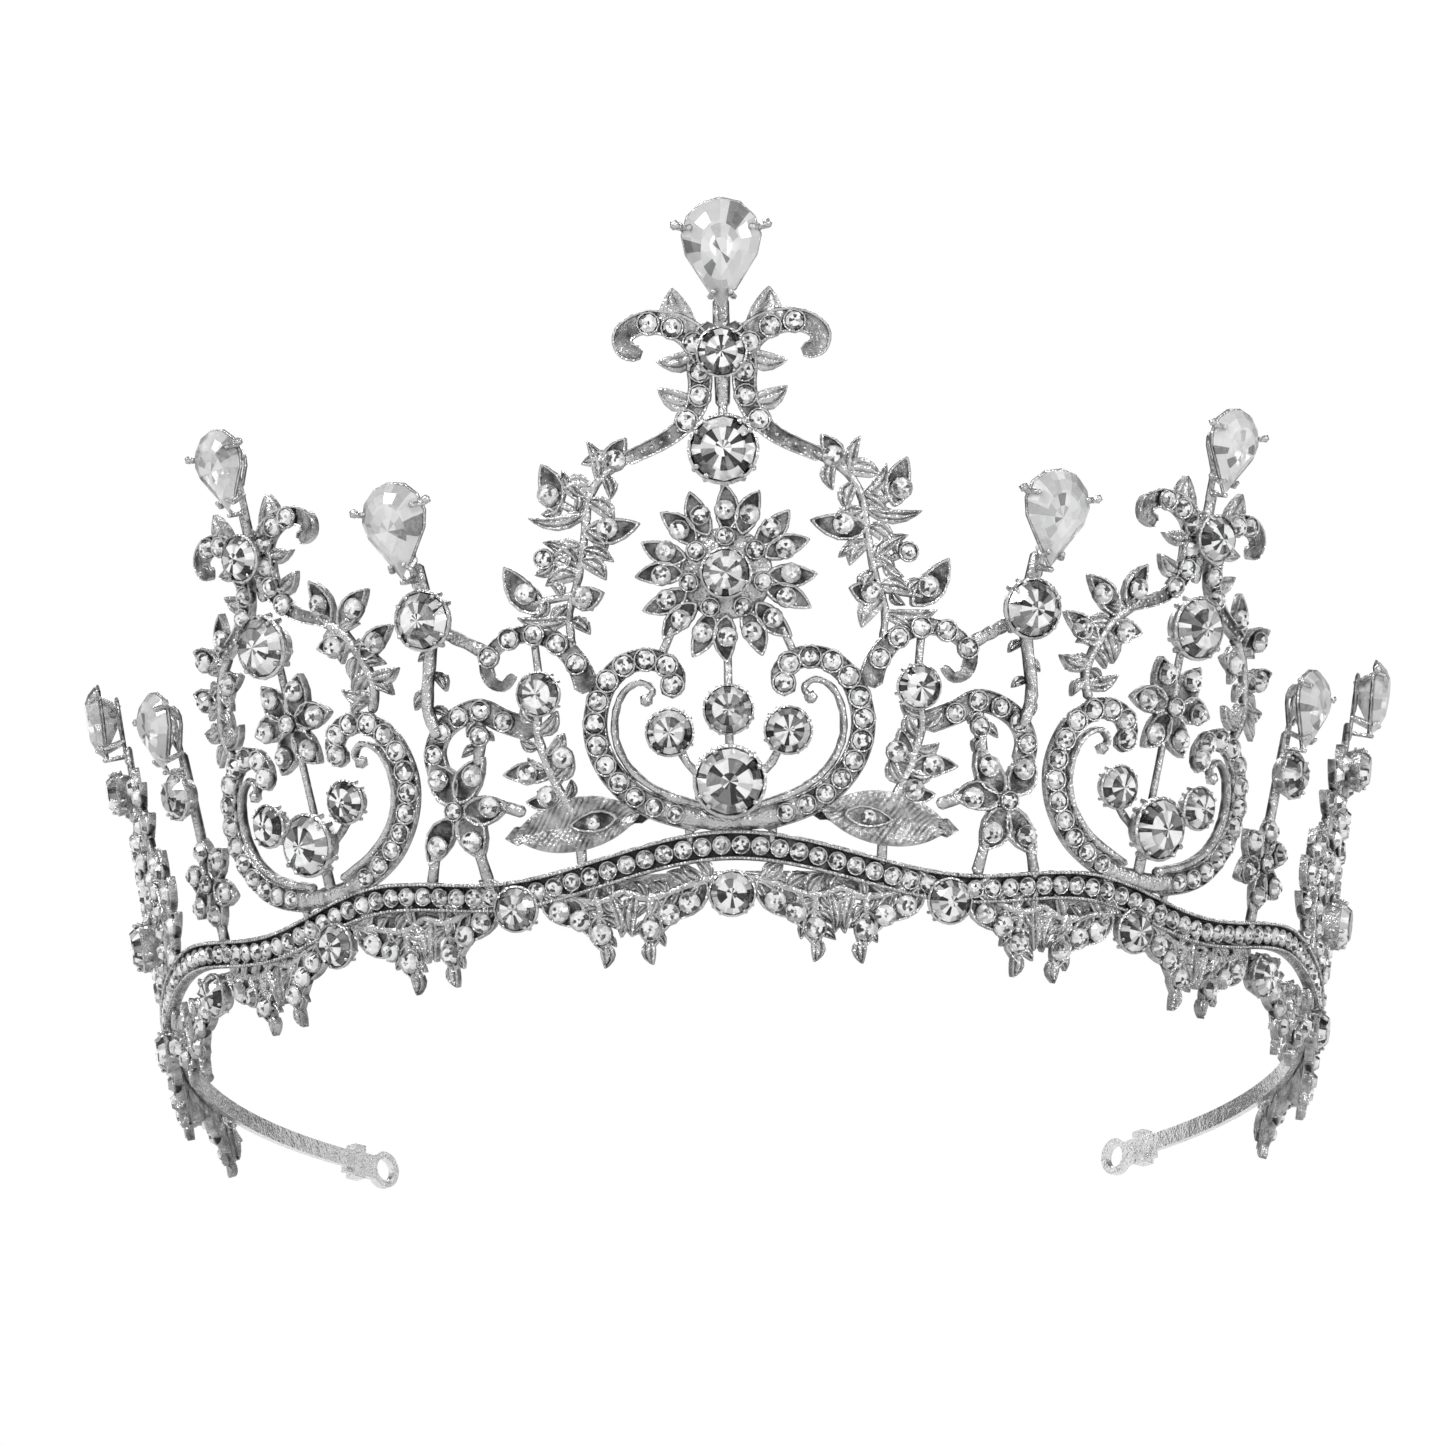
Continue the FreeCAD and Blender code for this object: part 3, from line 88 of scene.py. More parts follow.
# ---------------------------------------------------------------- the leaning sheet
@dataclass(frozen=True)
class LeaningSheet:
    """The cone-like sheet round the headband that the castings lie on; sizes in mm and degrees."""

    radius: float = 68.0
    setback: float = 24.0
    height: float = 8.8
    lean_front: float = 20.0
    lean_back: float = 10.0
    lean_from: float = 35.0
    lean_to: float = 80.0
    standoff: float = 0.9

    def lean(self, angle: float) -> float:
        """Outward lean in radians at a ring angle in degrees."""
        share = ease(abs(angle), self.lean_from, self.lean_to)
        return math.radians(self.lean_front + (self.lean_back - self.lean_front) * share)

    def axes(self, angle: float) -> Tuple[Vector, Vector, Vector, Vector]:
        """Tangent, upward, outward and radial unit vectors at a ring angle."""
        turn, lean = math.radians(angle), self.lean(angle)
        radial = Vector((math.sin(turn), -math.cos(turn), 0.0))
        tangent = Vector((math.cos(turn), math.sin(turn), 0.0))
        vertical = Vector((0.0, 0.0, 1.0))
        upward = radial * math.sin(lean) + vertical * math.cos(lean)
        outward = radial * math.cos(lean) - vertical * math.sin(lean)
        return tangent, upward, outward, radial

    def ring_angle(self, panel: float, across: float, up: float) -> float:
        """Ring angle in degrees of a place given from a panel's middle."""
        return panel + math.degrees(across / (self.radius + up * math.sin(self.lean(panel))))

    def point(self, panel: float, across: float, up: float, out: float) -> Vector:
        """A place on the sheet, in metres.

        Args:
            panel: Ring angle of the panel's middle, in degrees.
            across: Millimetres from the panel's middle along the sheet.
            up: Millimetres up the sheet from the headband's middle.
            out: Millimetres outward from the back of the castings.

        Returns:
            The point in the frame's axes.
        """
        _, upward, outward, radial = self.axes(self.ring_angle(panel, across, up))
        foot = Vector((0.0, self.setback, self.height)) + radial * self.radius
        return (foot + upward * up + outward * (out + self.standoff)) * MM

    def seat(self, panel: float, spot: Spot, out: float, scale: float = 1.0, turn: float = 0.0) -> Matrix:
        """Matrix that sets a shape made in millimetres on the sheet, its Z outward and its Y up."""
        tangent, upward, outward, _ = self.axes(self.ring_angle(panel, spot[0], spot[1]))
        basis = Matrix((tangent, upward, outward)).transposed().to_4x4()
        place = Matrix.Translation(self.point(panel, spot[0], spot[1], out))
        return place @ basis @ Matrix.Rotation(math.radians(turn), 4, "Z") @ Matrix.Scale(scale * MM, 4)


def ease(value: float, low: float, high: float) -> float:
    """Smooth step from 0 at low to 1 at high."""
    share = min(max((value - low) / (high - low), 0.0), 1.0)
    return share * share * (3.0 - 2.0 * share)


def flipped(points: Sequence[Spot], hand: int) -> List[Spot]:
    """The same points on the left (-1) or the right (1) hand."""
    return [(hand * across, up) for across, up in points]


def leaf_hand(leaves: Sequence[LeafSize], hand: int) -> List[LeafSize]:
    """The same leaves on the left (-1) or the right (1) hand."""
    return [((hand * base[0], base[1]), (hand * tip[0], tip[1]), width) for base, tip, width in leaves]


def smooth_path(points: Sequence[Spot], steps: int = 4) -> List[Spot]:
    """Catmull-Rom points through a few given ones."""
    ends = [points[0], *points, points[-1]]
    path: List[Spot] = []
    for p0, p1, p2, p3 in zip(ends, ends[1:], ends[2:], ends[3:]):
        for step in range(steps):
            t = step / steps
            path.append(tuple(
                0.5 * (2 * b + (c - a) * t + (2 * a - 5 * b + 4 * c - d) * t * t + (3 * b - a - 3 * c + d) * t ** 3)
                for a, b, c, d in zip(p0, p1, p2, p3)))
    path.append(tuple(points[-1]))
    return path


def spaced(points: Sequence[Spot], count: int, start: float = 0.0, stop: float = 1.0) -> List[Spot]:
    """Evenly spaced places between two shares of a smooth path's length."""
    path = smooth_path(points, 8)
    lengths = [0.0]
    for here, there in zip(path, path[1:]):
        lengths.append(lengths[-1] + math.dist(here, there))
    places = []
    for i in range(count):
        goal = (start + (stop - start) * i / (count - 1)) * lengths[-1]
        k = max(j for j in range(len(path) - 1) if lengths[j] <= goal + 1e-9)
        part = (goal - lengths[k]) / (lengths[k + 1] - lengths[k])
        places.append(tuple(a + (b - a) * part for a, b in zip(path[k], path[k + 1])))
    return places


def around(middle: Spot, radius: float, bearings: Sequence[float]) -> List[Spot]:
    """Places on a circle round a middle point."""
    return [(middle[0] + radius * math.cos(math.radians(b)), middle[1] + radius * math.sin(math.radians(b)))
            for b in bearings]


def even_bearings(count: int, first: float = 90.0) -> List[float]:
    """Evenly spread bearings in degrees."""
    return [first + i * 360.0 / count for i in range(count)]


# ---------------------------------------------------------------- small shapes, in millimetres
def new_shape() -> bmesh.types.BMesh:
    """Empty mesh with the layers that every piece carries."""
    shape = bmesh.new()
    # recess: painted darkness per vertex, partly patina in the hollows and partly painted shade where backs, floors
    # and crevices would lie in shadow
    shape.verts.layers.float.new("recess")
    shape.verts.layers.float.new("spark")
    shape.loops.layers.uv.new("facet")
    return shape


def shade_recess(shape: bmesh.types.BMesh, verts: Sequence[bmesh.types.BMVert], amount: float) -> None:
    """Writes how dark some vertices are painted: patina plus painted shade in hollows and on backs."""
    layer = shape.verts.layers.float["recess"]
    for vert in verts:
        vert[layer] = amount


def first_ring(shape: bmesh.types.BMesh, corners: Sequence[Sequence[float]],
               recesses: Sequence[float]) -> List[bmesh.types.BMEdge]:
    """Closed ring of edges through some corners, each with its recess."""
    layer = shape.verts.layers.float["recess"]
    ring = []
    for corner, recess in zip(corners, recesses):
        vert = shape.verts.new(corner)
        vert[layer] = recess
        ring.append(vert)
    return [shape.edges.new((a, b)) for a, b in zip(ring, ring[1:] + ring[:1])]


def grown_ring(shape: bmesh.types.BMesh, edges: Sequence[bmesh.types.BMEdge]
               ) -> Tuple[List[bmesh.types.BMVert], List[bmesh.types.BMEdge]]:
    """Extrudes a ring of edges and returns the new ring's vertices and edges."""
    grown = bmesh.ops.extrude_edge_only(shape, edges=edges)["geom"]
    fresh = {item for item in grown if isinstance(item, bmesh.types.BMVert)}
    ring = [item for item in grown
            if isinstance(item, bmesh.types.BMEdge) and fresh.issuperset(item.verts)]
    return list(fresh), ring


def lay_along(shape: bmesh.types.BMesh, base: Spot, tip: Spot) -> None:
    """Turns and moves a shape made along X so that it runs from a base to a tip."""
    heading = math.atan2(tip[1] - base[1], tip[0] - base[0])
    middle = ((base[0] + tip[0]) / 2, (base[1] + tip[1]) / 2, 0.0)
    place = Matrix.Translation(middle) @ Matrix.Rotation(heading, 4, "Z")
    bmesh.ops.transform(shape, matrix=place, verts=shape.verts[:])


def swept_bar(points: Sequence[Spot], width: float, back: float, front: float, tail: float = 1.0,
              profile: BarProfile = BarProfile.ROUND, steps: int = 4) -> bmesh.types.BMesh:
    """Bar along a smooth path with soft ends.

    Args:
        points: Path on the flat sheet.
        width: Full width at the path's start.
        back: Level of the bar's back.
        front: Level of the bar's face.
        tail: Share of the width left at the path's end.
        profile: Cross-section.
        steps: Stations between two given points.

    Returns:
        The closed bar.
    """
    path = smooth_path(points, steps)
    stations = []
    last = len(path) - 1
    for i, (across, up) in enumerate(path):
        before, after = path[max(i - 1, 0)], path[min(i + 1, last)]
        heading = math.atan2(after[1] - before[1], after[0] - before[0])
        knots = 0.1 * math.sin(2.3 * i + across) if profile is BarProfile.ROUND else 0.0
        share = 1.0 + (tail - 1.0) * i / last + knots
        place = Matrix.Translation((across, up, (front + back) / 2)) @ Matrix.Rotation(heading, 4, "Z")
        stations.append((place, Vector((1.0, width / 2 * share, (front - back) / 2))))
    for index, step in ((0, -0.3 * width), (-1, 0.3 * width * tail)):
        place, scale = stations[index]
        end = (place @ Matrix.Translation((step, 0.0, 0.0)), Vector((1.0, scale.y * 0.55, scale.z * 0.7)))
        stations.insert(0 if index == 0 else len(stations), end)
    matrices = [place @ Matrix.Diagonal(scale.to_4d()) for place, scale in stations]

    shape = new_shape()
    corners = [matrices[0] @ Vector((0.0, sideways, outward)) for sideways, outward, _ in profile.value]
    edges = first_ring(shape, corners, [recess for _, _, recess in profile.value])
    for here, there in zip(matrices, matrices[1:]):
        fresh, edges = grown_ring(shape, edges)
        bmesh.ops.transform(shape, matrix=there @ here.inverted(), verts=fresh)
    bmesh.ops.holes_fill(shape, edges=shape.edges[:], sides=0)
    bmesh.ops.recalc_face_normals(shape, faces=shape.faces[:])
    return shape


def grow_face(shape: bmesh.types.BMesh, face: bmesh.types.BMFace, scale: Tuple[float, float], rise: float,
              recess: float) -> None:
    """Insets a face, then scales and lifts what is left of it, and marks how dark it is painted, patina plus
    painted shade.
    """
    bmesh.ops.inset_individual(shape, faces=[face], thickness=0.01, depth=0.0)
    bmesh.ops.scale(shape, vec=(scale[0], scale[1], 1.0), verts=face.verts[:])
    bmesh.ops.translate(shape, vec=(0.0, 0.0, rise), verts=face.verts[:])
    shade_recess(shape, face.verts[:], recess)


def leaf_shape(leaf: LeafSize, kind: LeafKind, curl: float = 0.0, back: float = 0.1,
               front: float = 1.1) -> bmesh.types.BMesh:
    """Pointed leaf with a bright rim, either sunk for a stone or with a raised vein; its sides and sunk floor are
    painted dark, patina plus painted shade.

    Args:
        leaf: Base, tip and width.
        kind: What its face carries.
        curl: Sideways bulge as a share of the length, positive to the left of base to tip.
        back: Level of its back.
        front: Level of its face.

    Returns:
        The closed leaf.
    """
    base, tip, width = leaf
    length = math.dist(base, tip) * 1.1
    width = width * (1.16 if kind is LeafKind.STONE else 1.1)
    shape = new_shape()
    bmesh.ops.create_circle(shape, cap_ends=True, segments=14, radius=1.0)
    for vert in shape.verts:
        bulge = vert.co.y * abs(vert.co.y) ** 0.6
        vert.co = Vector((vert.co.x * length / 2, bulge * width / 2 * (1.0 - 0.22 * vert.co.x), back))
    shade_recess(shape, shape.verts[:], 0.45)
    grown = bmesh.ops.extrude_face_region(shape, geom=shape.faces[:])["geom"]
    face = next(item for item in grown if isinstance(item, bmesh.types.BMFace))
    bmesh.ops.translate(shape, vec=(0.0, 0.0, front - back - 0.15), verts=face.verts[:])
    shade_recess(shape, face.verts[:], 0.4)
    if kind is LeafKind.STONE:
        rim = 0.2
        grow_face(shape, face, (1.0 - rim / length, 1.0 - rim / width), 0.15, 0.0)
        grow_face(shape, face, (1.0 - 2.4 * rim / length, 1.0 - 2.0 * rim / width), -0.03, 0.0)
        # The sunk floor is painted dark (0.78): painted shade round the stone, with patina.
        grow_face(shape, face, (0.94, 0.9), -0.22, 0.78)
    else:
        grow_face(shape, face, (0.9, 0.75), 0.12, 0.1)
        grow_face(shape, face, (0.95, 0.6), -0.12, 0.5)
        grow_face(shape, face, (0.8, 0.35), 0.3, 0.0)
    bmesh.ops.recalc_face_normals(shape, faces=shape.faces[:])
    for vert in shape.verts:
        vert.co.y += curl * length * (1.0 - (2.0 * vert.co.x / length) ** 2)
    lay_along(shape, base, tip)
    return shape


def engraved_shape(leaf: LeafSize, back: float, front: float) -> bmesh.types.BMesh:
    """Broad leaf whose face is cut in a herringbone of fine ribs."""
    base, tip, width = leaf
    length = math.dist(base, tip)
    shape = new_shape()
    bmesh.ops.create_grid(shape, x_segments=44, y_segments=12, size=1.0)
    layer = shape.verts.layers.float["recess"]
    for vert in shape.verts:
        x, y = vert.co.x, vert.co.y
        outline = max(1.0 - abs(x) ** 2.2, 0.0) ** 0.85
        rib = math.sin((x - 0.35 * abs(y)) * 62.0)
        edge = ease(abs(y), 0.86, 1.0)
        level = front + 0.1 * rib * (1.0 - edge) - 0.45 * (1.0 - abs(y)) ** 2 - 0.15 * edge
        vert.co = Vector((x * length / 2, y * outline * width / 2, level))
        # Grooves between the ribs are painted darker than the crests: painted shade with some patina.
        vert[layer] = 0.38 - 0.3 * rib * (1.0 - edge)
    bmesh.ops.remove_doubles(shape, verts=shape.verts[:], dist=0.01)
    bmesh.ops.recalc_face_normals(shape, faces=shape.faces[:])
    bmesh.ops.solidify(shape, geom=shape.faces[:], thickness=front - back)
    lay_along(shape, base, tip)
    return shape


def turned(rings: Sequence[Tuple[float, float, float]], segments: int,
           closed_face: bool) -> bmesh.types.BMesh:
    """Round shape from rings of (radius, level, recess), its back closed and its front too if asked."""
    shape = new_shape()
    radius, level, recess = rings[0]
    bmesh.ops.create_circle(shape, cap_ends=True, segments=segments, radius=radius,
                            matrix=Matrix.Translation((0.0, 0.0, level)))
    shade_recess(shape, shape.verts[:], recess)
    edges = shape.edges[:]
    for (last, last_level, _), (radius, level, recess) in zip(rings, rings[1:]):
        fresh, edges = grown_ring(shape, edges)
        bmesh.ops.scale(shape, vec=(radius / last, radius / last, 1.0), verts=fresh)
        bmesh.ops.translate(shape, vec=(0.0, 0.0, level - last_level), verts=fresh)
        shade_recess(shape, fresh, recess)
    if closed_face:
        bmesh.ops.contextual_create(shape, geom=edges)
    bmesh.ops.recalc_face_normals(shape, faces=shape.faces[:])
    return shape


def strut(start: Vector, end: Vector, thick: float, thin: float, nub: float = 0.0) -> bmesh.types.BMesh:
    """Six-sided tapered prong between two places, with a round nub on its end."""
    shape = new_shape()
    run = end - start
    place = Matrix.Translation((start + end) / 2) @ run.to_track_quat("Z", "Y").to_matrix().to_4x4()
    bmesh.ops.create_cone(shape, cap_ends=True, segments=6, radius1=thick, radius2=thin,
                          depth=run.length, matrix=place)
    shade_recess(shape, shape.verts[:], 0.2)
    if nub:
        bmesh.ops.create_icosphere(shape, subdivisions=1, radius=nub, matrix=Matrix.Translation(end))
    return shape


def pear_outline(width: float, length: float, count: int = 9) -> List[Spot]:
    """Open pear outline from its point round and back to it, point down, centred on its length."""
    radius = width / 2
    middle = length / 2 - radius
    touch = math.asin(radius / (middle + length / 2) * 0.82)
    arc = [math.pi + touch + (-math.pi - 2 * touch) * i / (count - 1) for i in range(count)]
    round_end = [(radius * math.cos(a), middle + radius * math.sin(a)) for a in arc]
    left, point = round_end[0], (0.0, -length / 2)
    sides = [tuple(p + (q - p) * share for p, q in zip(point, left)) for share in (0.0, 0.35, 0.7)]
    return sides + round_end + [(-across, up) for across, up in reversed(sides[1:])]


def kept_template(name: str, shape: bmesh.types.BMesh) -> bpy.types.Mesh:
    """Mesh kept for setting many copies of one shape."""
    mesh = bpy.data.meshes.new(name)
    shape.to_mesh(mesh)
    shape.free()
    return mesh


def take_in(whole: bmesh.types.BMesh, part: bmesh.types.BMesh) -> None:
    """Joins a part to a whole and frees the part."""
    mesh = kept_template("part", part)
    whole.from_mesh(mesh)
    bpy.data.meshes.remove(mesh)


# ---------------------------------------------------------------- stones and settings made once
@dataclass
class Templates:
    """Shapes that are set many times: collars, beads, stones, cups and pears; sizes in mm."""

    stone_radius: float = 1.0
    jewel_radius: float = 2.5
    jewel_back: float = 1.3
    jewel_crown: float = 1.3
    cup_floor: float = 0.5
    pear_width: float = 8.6
    pear_length: float = 12.0
    pear_back: float = 3.2
    pear_crown: float = 1.8
    collar: bpy.types.Mesh = field(init=False)
    bead: bpy.types.Mesh = field(init=False)
    stone: bpy.types.Mesh = field(init=False)
    jewel: bpy.types.Mesh = field(init=False)
    cup: bpy.types.Mesh = field(init=False)
    pear: bpy.types.Mesh = field(init=False)
    basket: bpy.types.Mesh = field(init=False)

    def __post_init__(self) -> None:
        """Makes every template."""
        # The collar's foot and inner lip carry recess 1: a painted dark ring round each stone, patina plus painted
        # shade.
        self.collar = kept_template("collar_template", turned(
            ((1.1, -0.75, 1.0), (1.34, -0.1, 0.95), (1.33, 0.12, 0.5), (1.22, 0.34, 0.0), (1.08, 0.3, 0.0),
             (0.98, 0.0, 1.0)), 12, False))
        bead = new_shape()
        bmesh.ops.create_icosphere(bead, subdivisions=1, radius=1.0)
        self.bead = kept_template("bead_template", bead)
        self.stone = kept_template("stone_template", self.cut_stone(self.stone_radius, 0.0, 0.28, 0.85,
                                                                    0.6, 8))
        self.jewel = kept_template("jewel_template", self.cut_stone(
            self.jewel_radius, 0.0, self.jewel_back, self.jewel_back + self.jewel_crown * 0.9, 0.66, 12))
        self.cup = kept_template("cup_template", self.claw_cup())
        self.pear = kept_template("pear_template", self.cut_pear())
        self.basket = kept_template("basket_template", self.pear_basket())

    def cut_stone(self, radius: float, low: float, girdle: float, top: float, table: float,
                  segments: int) -> bmesh.types.BMesh:
        """Round faceted stone: tapered back, thin girdle, crown twisted half a facet to its table."""
        shape = turned(((radius * 0.45, low, 0.0), (radius, girdle, 0.0), (radius,
                                                                           girdle + radius * 0.07, 0.0)),
                       segments, False)
        edges = [edge for edge in shape.edges if edge.is_boundary]
        fresh, _ = grown_ring(shape, edges)
        for vert in fresh:
            vert.co = Vector((vert.co.x * table, vert.co.y * table, top))
        half_facet = Matrix.Rotation(math.pi / segments, 3, "Z")
        bmesh.ops.rotate(shape, cent=(0.0, 0.0, 0.0), matrix=half_facet, verts=fresh)
        bmesh.ops.contextual_create(shape, geom=[edge for edge in shape.edges if edge.is_boundary])
        bmesh.ops.triangulate(shape, faces=[face for face in shape.faces if len(face.verts) == 4])
        bmesh.ops.recalc_face_normals(shape, faces=shape.faces[:])
        self.disc_uv(shape, radius, radius)
        return shape

    def disc_uv(self, shape: bmesh.types.BMesh, half_width: float, half_length: float) -> None:
        """Lays each stone's own coordinates, -1 to 1 over its outline, in its UV map."""
        layer = shape.loops.layers.uv["facet"]
        for face in shape.faces:
            for loop in face.loops:
                loop[layer].uv = (loop.vert.co.x / half_width, loop.vert.co.y / half_length)

    def claw_cup(self) -> bmesh.types.BMesh:
        """Dish with eight short claws for a round crystal."""
        wall = self.jewel_radius
        seat = self.cup_floor + self.jewel_back
        # The seat under the crystal is painted dark (recess 0.9): painted shade with patina.
        shape = turned(((wall - 0.5, 0.0, 0.6), (wall + 0.28, seat - 0.3, 0.35), (wall + 0.32,
                                                                                  seat + 0.1, 0.1),
                        (wall + 0.1, seat + 0.22, 0.0), (wall - 0.05, seat, 0.9)), 24, False)
        for i in range(8):
            bearing = math.radians(45.0 * (i // 2) * 2 + (33.0 if i % 2 else 57.0))
            way = Vector((math.cos(bearing), math.sin(bearing), 0.0))
            foot = way * (wall + 0.22) + Vector((0.0, 0.0, seat - 0.9))
            head = way * (wall - 0.02) + Vector((0.0, 0.0, seat + self.jewel_crown * 0.42))
            take_in(shape, strut(foot, head, 0.26, 0.2, 0.26))
        return shape

    def cut_pear(self) -> bmesh.types.BMesh:
        """Pear-cut crystal with a faceted crown and back."""
        outline = pear_outline(self.pear_width, self.pear_length)[:-1]
        shape = new_shape()
        corners = [(across, up, self.pear_back) for across, up in outline]
        girdle = first_ring(shape, corners, [0.0] * len(corners))
        lift, shoulder, table = 0.8, 0.78, 0.52
        shoulder_level = self.pear_back + self.pear_crown * 0.62
        table_level = self.pear_back + self.pear_crown
        rings = ((True, 0.3, 0.4, True), (True, shoulder, shoulder_level, False),
                 (False, table / shoulder, table_level, True))
        edges = girdle
        for from_girdle, scale, level, closed in rings:
            fresh, edges = grown_ring(shape, girdle if from_girdle else edges)
            for vert in fresh:
                vert.co = Vector((vert.co.x * scale, (vert.co.y - lift) * scale + lift, level))
            if closed:
                bmesh.ops.contextual_create(shape, geom=edges)
        bmesh.ops.triangulate(shape, faces=[face for face in shape.faces if len(face.verts) == 4])
        bmesh.ops.recalc_face_normals(shape, faces=shape.faces[:])
        self.disc_uv(shape, self.pear_width / 2, self.pear_length / 2)
        return shape

    def pear_basket(self) -> bmesh.types.BMesh:
        """Open basket of prongs round a pear crystal."""
        width, length, back = self.pear_width, self.pear_length, self.pear_back
        parts = [swept_bar(pear_outline(width * 0.98, length), 0.5, back - 0.75, back - 0.3, steps=1),
                 swept_bar(pear_outline(width * 0.55, length * 0.6), 0.55, -0.3, 0.2, steps=1),
                 swept_bar([(0.0, -length * 0.58), (0.0, length * 0.2)], 1.2, -0.5, 0.1, steps=1)]
        for hand in (-1, 1):
            hip = Vector((hand * 0.22 * width, 0.12 * length, -0.2))
            brow = Vector((hand * (0.47 * width + 0.35), 0.24 * length, back))
            nail = Vector((hand * 0.40 * width, 0.23 * length, back + self.pear_crown * 0.62))
            horn = Vector((hand * (0.5 * width + 0.75), 0.26 * length, back + 0.2))
            heel = Vector((hand * 0.05 * width, -0.3 * length, -0.2))
            knee = Vector((hand * 0.15 * width, -0.40 * length, back))
            toe = Vector((hand * 0.11 * width, -0.36 * length, back + self.pear_crown * 0.5))
            parts += [strut(hip, brow, 0.5, 0.42), strut(brow, nail, 0.42, 0.3, 0.42),
                      strut(brow, horn, 0.5, 0.5, 0.66), strut(heel, knee, 0.42, 0.38),
                      strut(knee, toe, 0.38, 0.28, 0.36)]
        parts.append(strut(Vector((0.0, -0.5 * length, -0.2)), Vector((0.0, -0.53 * length, back)), 0.5,
                           0.36, 0.42))
        shape = new_shape()
        for part in parts:
            take_in(shape, part)
        return shape


# ---------------------------------------------------------------- finishes
class ShaderBench:
    """Short ways to lay nodes in a material or a group."""

    def __init__(self, tree: bpy.types.NodeTree) -> None:
        """Takes the tree to work on."""
        self.tree = tree

    def node(self, kind: str, **settings: object) -> bpy.types.Node:
        """New node with its settings."""
        node = self.tree.nodes.new(kind)
        for name, value in settings.items():
            setattr(node, name, value)
        return node

    def link(self, source: bpy.types.NodeSocket, target: bpy.types.NodeSocket) -> None:
        """Joins two sockets."""
        self.tree.links.new(source, target)

    def noise(self, scale: float, detail: float = 2.0,
              vector: bpy.types.NodeSocket = None) -> bpy.types.NodeSocket:
        """Noise over given coordinates, or over the default ones; returns its factor."""
        node = self.node("ShaderNodeTexNoise")
        node.inputs["Scale"].default_value = scale
        node.inputs["Detail"].default_value = detail
        if vector is not None:
            self.link(vector, node.inputs["Vector"])
        return node.outputs["Fac"]

    def math(self, operation: str, *values: object) -> bpy.types.NodeSocket:
        """Math node over sockets and numbers; returns its value."""
        node = self.node("ShaderNodeMath", operation=operation)
        for socket, value in zip(node.inputs, values):
            if isinstance(value, bpy.types.NodeSocket):
                self.link(value, socket)
            else:
                socket.default_value = value
        return node.outputs[0]

    def ramp(self, factor: bpy.types.NodeSocket, stops: Sequence[Tuple[float, float]],
             mode: str = "LINEAR") -> bpy.types.NodeSocket:
        """Grey ramp over a factor; stops are (position, grey)."""
        node = self.node("ShaderNodeValToRGB")
        node.color_ramp.interpolation = mode
        elements = node.color_ramp.elements
        while len(elements) < len(stops):
            elements.new(0.5)
        for element, (position, grey) in zip(elements, stops):
            element.position = position
            element.color = (grey, grey, grey * 1.005, 1.0)
        self.link(factor, node.inputs[0])
        return node.outputs[0]


def new_group(name: str, inputs: Sequence[Tuple[str, str, float]],
              outputs: Sequence[Tuple[str, str]]) -> bpy.types.NodeTree:
    """Shader node group with named sockets and its input and output nodes."""
    group = bpy.data.node_groups.new(name, "ShaderNodeTree")
    for label, kind, value in inputs:
        socket = group.interface.new_socket(label, in_out="INPUT", socket_type=kind)
        if kind == "NodeSocketFloat":
            socket.default_value = value
    for label, kind in outputs:
        group.interface.new_socket(label, in_out="OUTPUT", socket_type=kind)
    group.nodes.new("NodeGroupInput")
    group.nodes.new("NodeGroupOutput")
    return group


def tarnish_and_shade_group() -> bpy.types.NodeTree:
    """Patina and painted shade in the recesses, cloudy wear on the faces and a fine cast grain."""
    group = new_group("TarnishAndShade", (("Recess", "NodeSocketFloat", 0.0), ("PatinaAndShade", "NodeSocketFloat", 1.0),
                                  ("Grain", "NodeSocketFloat", 1.0)),
                      (("Dark", "NodeSocketFloat"), ("Roughness", "NodeSocketFloat"), ("Height",
                                                                                       "NodeSocketFloat")))
    bench = ShaderBench(group)
    source, sink = group.nodes["Group Input"], group.nodes["Group Output"]
    coordinates = bench.node("ShaderNodeTexCoord").outputs["Object"]
    cloud = bench.noise(620.0, 3.0, coordinates)
    grain = bench.noise(2600.0, 2.0, coordinates)
    patches = bench.math("SUBTRACT", cloud, 0.5)
    patches = bench.math("MULTIPLY", patches, 1.7)
    # Darkness from the recess attribute: patina plus painted shade standing in for occlusion.
    deep = bench.math("POWER", source.outputs["Recess"], 1.3)
    dark = bench.math("MULTIPLY", bench.math("ADD", deep, patches), source.outputs["PatinaAndShade"])
    clamped = bench.node("ShaderNodeClamp")
    bench.link(dark, clamped.inputs["Value"])
    bench.link(clamped.outputs[0], sink.inputs["Dark"])
    rough = bench.math("MULTIPLY_ADD", grain, 0.18, 0.12)
    bench.link(bench.math("ADD", rough, bench.math("MULTIPLY", clamped.outputs[0], 0.25)),
               sink.inputs["Roughness"])
    height = bench.math("MULTIPLY", grain, source.outputs["Grain"])
    bench.link(bench.math("ADD", height, bench.math("MULTIPLY", cloud, 0.8)), sink.inputs["Height"])
    return group


